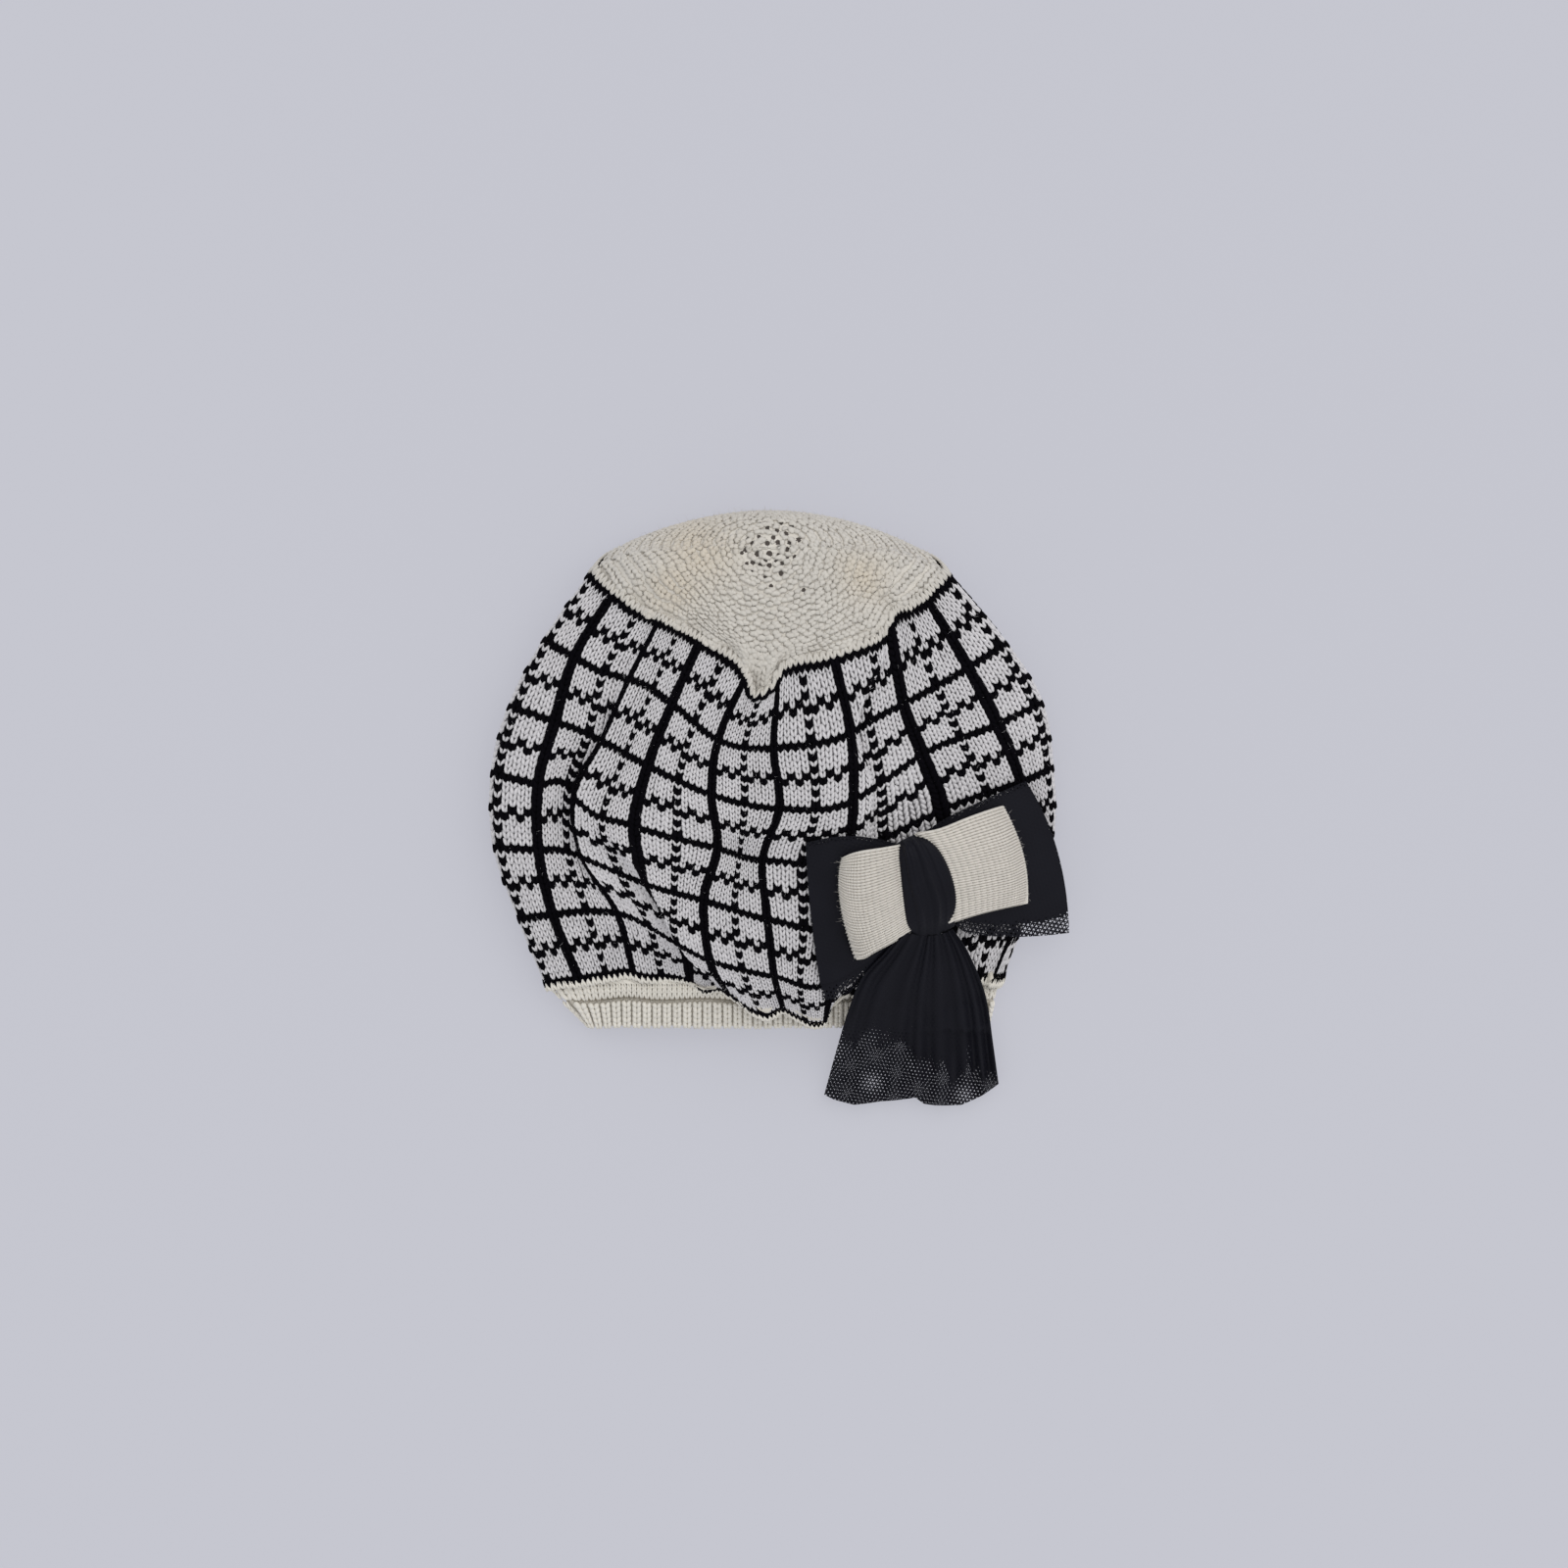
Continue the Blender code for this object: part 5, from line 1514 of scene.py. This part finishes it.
def make_bow(hat):
    """All the pieces of the bow, each on its own CAD node's place."""
    pattern = net_group()
    net = net_material("black net", pattern, 1.65, 0.30)
    tail_net = net_material("black tail net", pattern, 1.45, 0.335)
    bed = fitted_height("net_bow", 2, 3)
    tail_bed = fitted_height("net_tail", 2, 5)
    for side, rows in (("left", LEFT_WING), ("right", RIGHT_WING)):
        for number, (lift, reach) in enumerate(WING_LAYERS):
            piece = net_layer(f"net_{side}_{number}", rows, bed, hat, lift, NET_TURNS[number], net,
                              wing_closed(side), reach)
            settle(piece, "net_bow")
    for side, rows in (("left", LEFT_LOOP), ("right", RIGHT_LOOP)):
        cloth = lay_loop(rows, bed, side == "left")
        stitches = loop_stitches(f"loop_{side}_stitches", cloth, LOOP_YARN, 21)
        settle(stitches, "knit_bow")
        ribbon = loop_wall(f"loop_{side}_wall", cloth, LOOP_WALL)
        settle(ribbon, "knit_bow")
        hairs = cloth_hairs(f"loop_{side}_hairs", cloth, (0.3, LOOP_COLUMNS - 0.3),
                            (0.35 * LOOP_ROWS, 1.3 * LOOP_ROWS), LOOP_HAIRS, LOOP_YARN, 31)
        settle(hairs, "knit_bow")
    knot = sheet_piece("knot_net", *FINE_GRID, knot_place(bed), net)
    settle(knot, "knot_wrap")
    for number, lift in enumerate(TAIL_LIFTS):
        piece = net_layer(f"tail_{number}", TAIL, tail_bed, hat, lift, NET_TURNS[number], tail_net, tail_closed,
                          divisions=FINE_GRID, pleats=TAIL_PLEATS, hem=TAIL_HEM)
        settle(piece, "net_tail")


# ---------------------------------------------------------------- making the hat

bpy.ops.object.select_all(action="DESELECT")
make_camera()
make_light()
make_floor()

YARN = yarn_group()
WHITE_YARN = yarn_material("white knit yarn", YARN, (0.70, 0.68, 0.695), 0.08, 0.1, 0.5)
CROWN_YARN = yarn_material("cream knit yarn", YARN, (0.640, 0.606, 0.556), 0.08, 0.1, 0.4)
BAND_YARN = yarn_material("cream band yarn", YARN, (0.80, 0.76, 0.69), 0.08, 0.1, 0.5)
LOOP_YARN = yarn_material("fine cream knit yarn", YARN, (0.71, 0.67, 0.615), 0.06, 0.1, 0.4)
BLACK_YARN = yarn_material("black knit yarn", YARN, (0.0035, 0.003, 0.0045), 0.25, 0.0, 0.5, 0.03)
# The checked body's wall is painted dark grey behind the white stitches as painted shade in the gaps between them;
# its dark colour is the black yarn.
BODY_WALL_SHADE_AND_BLACK = wall_material("back of the checked knit", (0.20, 0.19, 0.20), (0.003, 0.003, 0.004))
# The crown's wall has about the cream yarn's colour; its dark colour is painted shade behind the small holes.
CROWN_WALL = wall_material("back of the cream knit", (0.72, 0.68, 0.62), (0.085, 0.072, 0.065))
# The band's wall is painted a little darker than its yarn as shade in the gaps between stitches, and darker still
# as painted shade in the crease below the roll.
BAND_WALL_CREASE_SHADE = wall_material("back of the cream ribs", (0.66, 0.62, 0.55), (0.42, 0.37, 0.30))
LOOP_WALL = wall_material("back of the fine cream knit", (0.74, 0.70, 0.64), (0.74, 0.70, 0.64))

body_cloth = lay_body()
crown_cloth = lay_crown(body_cloth)
band_cloth = lay_band(body_cloth)

BODY_STITCHES = [
    ("body_white_left", np.arange(-6, 36), False, KNIT_LEG, WHITE_YARN),
    ("body_white_right", np.arange(36, 77), False, KNIT_LEG, WHITE_YARN),
    ("body_black_front", np.arange(-6, 77), True, BLACK_LEG, BLACK_YARN),
    ("body_white_back", np.arange(77, 154), False, BACK_LEG, WHITE_YARN),
    ("body_black_back", np.arange(77, 154), True, BACK_LEG, BLACK_YARN),
]
for number, (label, columns, black, leg, yarn) in enumerate(BODY_STITCHES):
    piece = knit_stitches(label, body_cloth, columns, black, leg, number + 1, yarn)
    settle(piece, "checked_body")


def behind_stitch(column, row):
    """Whether the body's wall at a place lies behind a black stitch."""
    return is_black(np.round(column), np.round(row))


def painted_hole_shade(column, row):
    """Whether the crown's wall at a place lies behind one of the small holes, where it is painted dark as the shade
    inside the hat.
    """
    places, _ = read_cloth(crown_cloth, np.mod(column - FIRST_COLUMN, ROUND) + FIRST_COLUMN, row)
    dark = np.zeros(column.shape, bool)
    for hole in HOLES:
        away = np.linalg.norm(places[..., :2] - hole_spot(hole), axis=-1)
        dark = dark | (away < HOLE_SHADE + hole.half * PIXEL)
    return dark


def in_painted_crease_shade(column, row):
    """Whether the band's wall at a place lies in the crease below its roll, where it is painted dark as the
    crease's shade.
    """
    return (row > CREASE[0]) & (row < CREASE[1])


# Columns and rows of the walls' vertices, closer together where the cloth turns
wall_columns = np.concatenate([np.arange(FIRST_COLUMN, LAST_COLUMN - 0.1, 0.5),
                               np.arange(LAST_COLUMN, FIRST_COLUMN + ROUND - 0.3, 0.98)])
body_rows = np.linspace(-0.5, LAST_ROW + 0.5, 68)
crown_rows = np.concatenate([np.linspace(crown_cloth.rows[0], -8.0, 58), np.linspace(-8.0, 0.0, 17)[1:]])
band_rows = np.concatenate([np.linspace(LAST_ROW, 69.0, 17), np.linspace(69.1, 69.9, 9),
                            np.linspace(70.1, LAST_ROW + BAND_ROWS, 17)])
body_wall = wall_piece("body_wall", body_cloth, wall_columns, body_rows, BODY_WALL_SHADE_AND_BLACK, behind_stitch)
settle(body_wall, "checked_body")
settle(wall_piece("crown_wall", crown_cloth, wall_columns, crown_rows, CROWN_WALL, painted_hole_shade, CROWN_WALL_DEPTH,
                  True), "crown")
band_wall = wall_piece("band_wall", band_cloth, wall_columns, band_rows, BAND_WALL_CREASE_SHADE, in_painted_crease_shade)
settle(band_wall, "rib_band")

settle(crown_bumps(crown_cloth, CROWN_YARN), "crown")
settle(crown_seam(body_cloth, crown_cloth, CROWN_YARN), "crown")
settle(notch_edge(NOTCH_ZIGZAG, body_cloth, BLACK_YARN), "checked_body")
settle(notch_edge(NOTCH_ARM_ROUND, body_cloth, CROWN_YARN), "crown")
settle(band_stitches(band_cloth, BAND_YARN), "rib_band")
settle(edge_tips(body_cloth, BAND_YARN), "rib_band")
HAIRS = [
    ("body_hairs", body_cloth, (FIRST_COLUMN, LAST_COLUMN), (1.0, 65.0), 2600, WHITE_YARN, 41, "checked_body",
     "checked_knit"),
    ("crown_hairs", crown_cloth, (FIRST_COLUMN, 150.0), (-11.0, -0.5), 2600, CROWN_YARN, 42, "crown", "cream_knit"),
    ("band_hairs", band_cloth, (FIRST_COLUMN, LAST_COLUMN), (68.0, 73.5), 600, BAND_YARN, 43, "rib_band",
     "cream_knit"),
]
for *hairs, node, slot in HAIRS:
    settle(cloth_hairs(*hairs), node)
make_bow(hat_finder([body_wall, band_wall]))
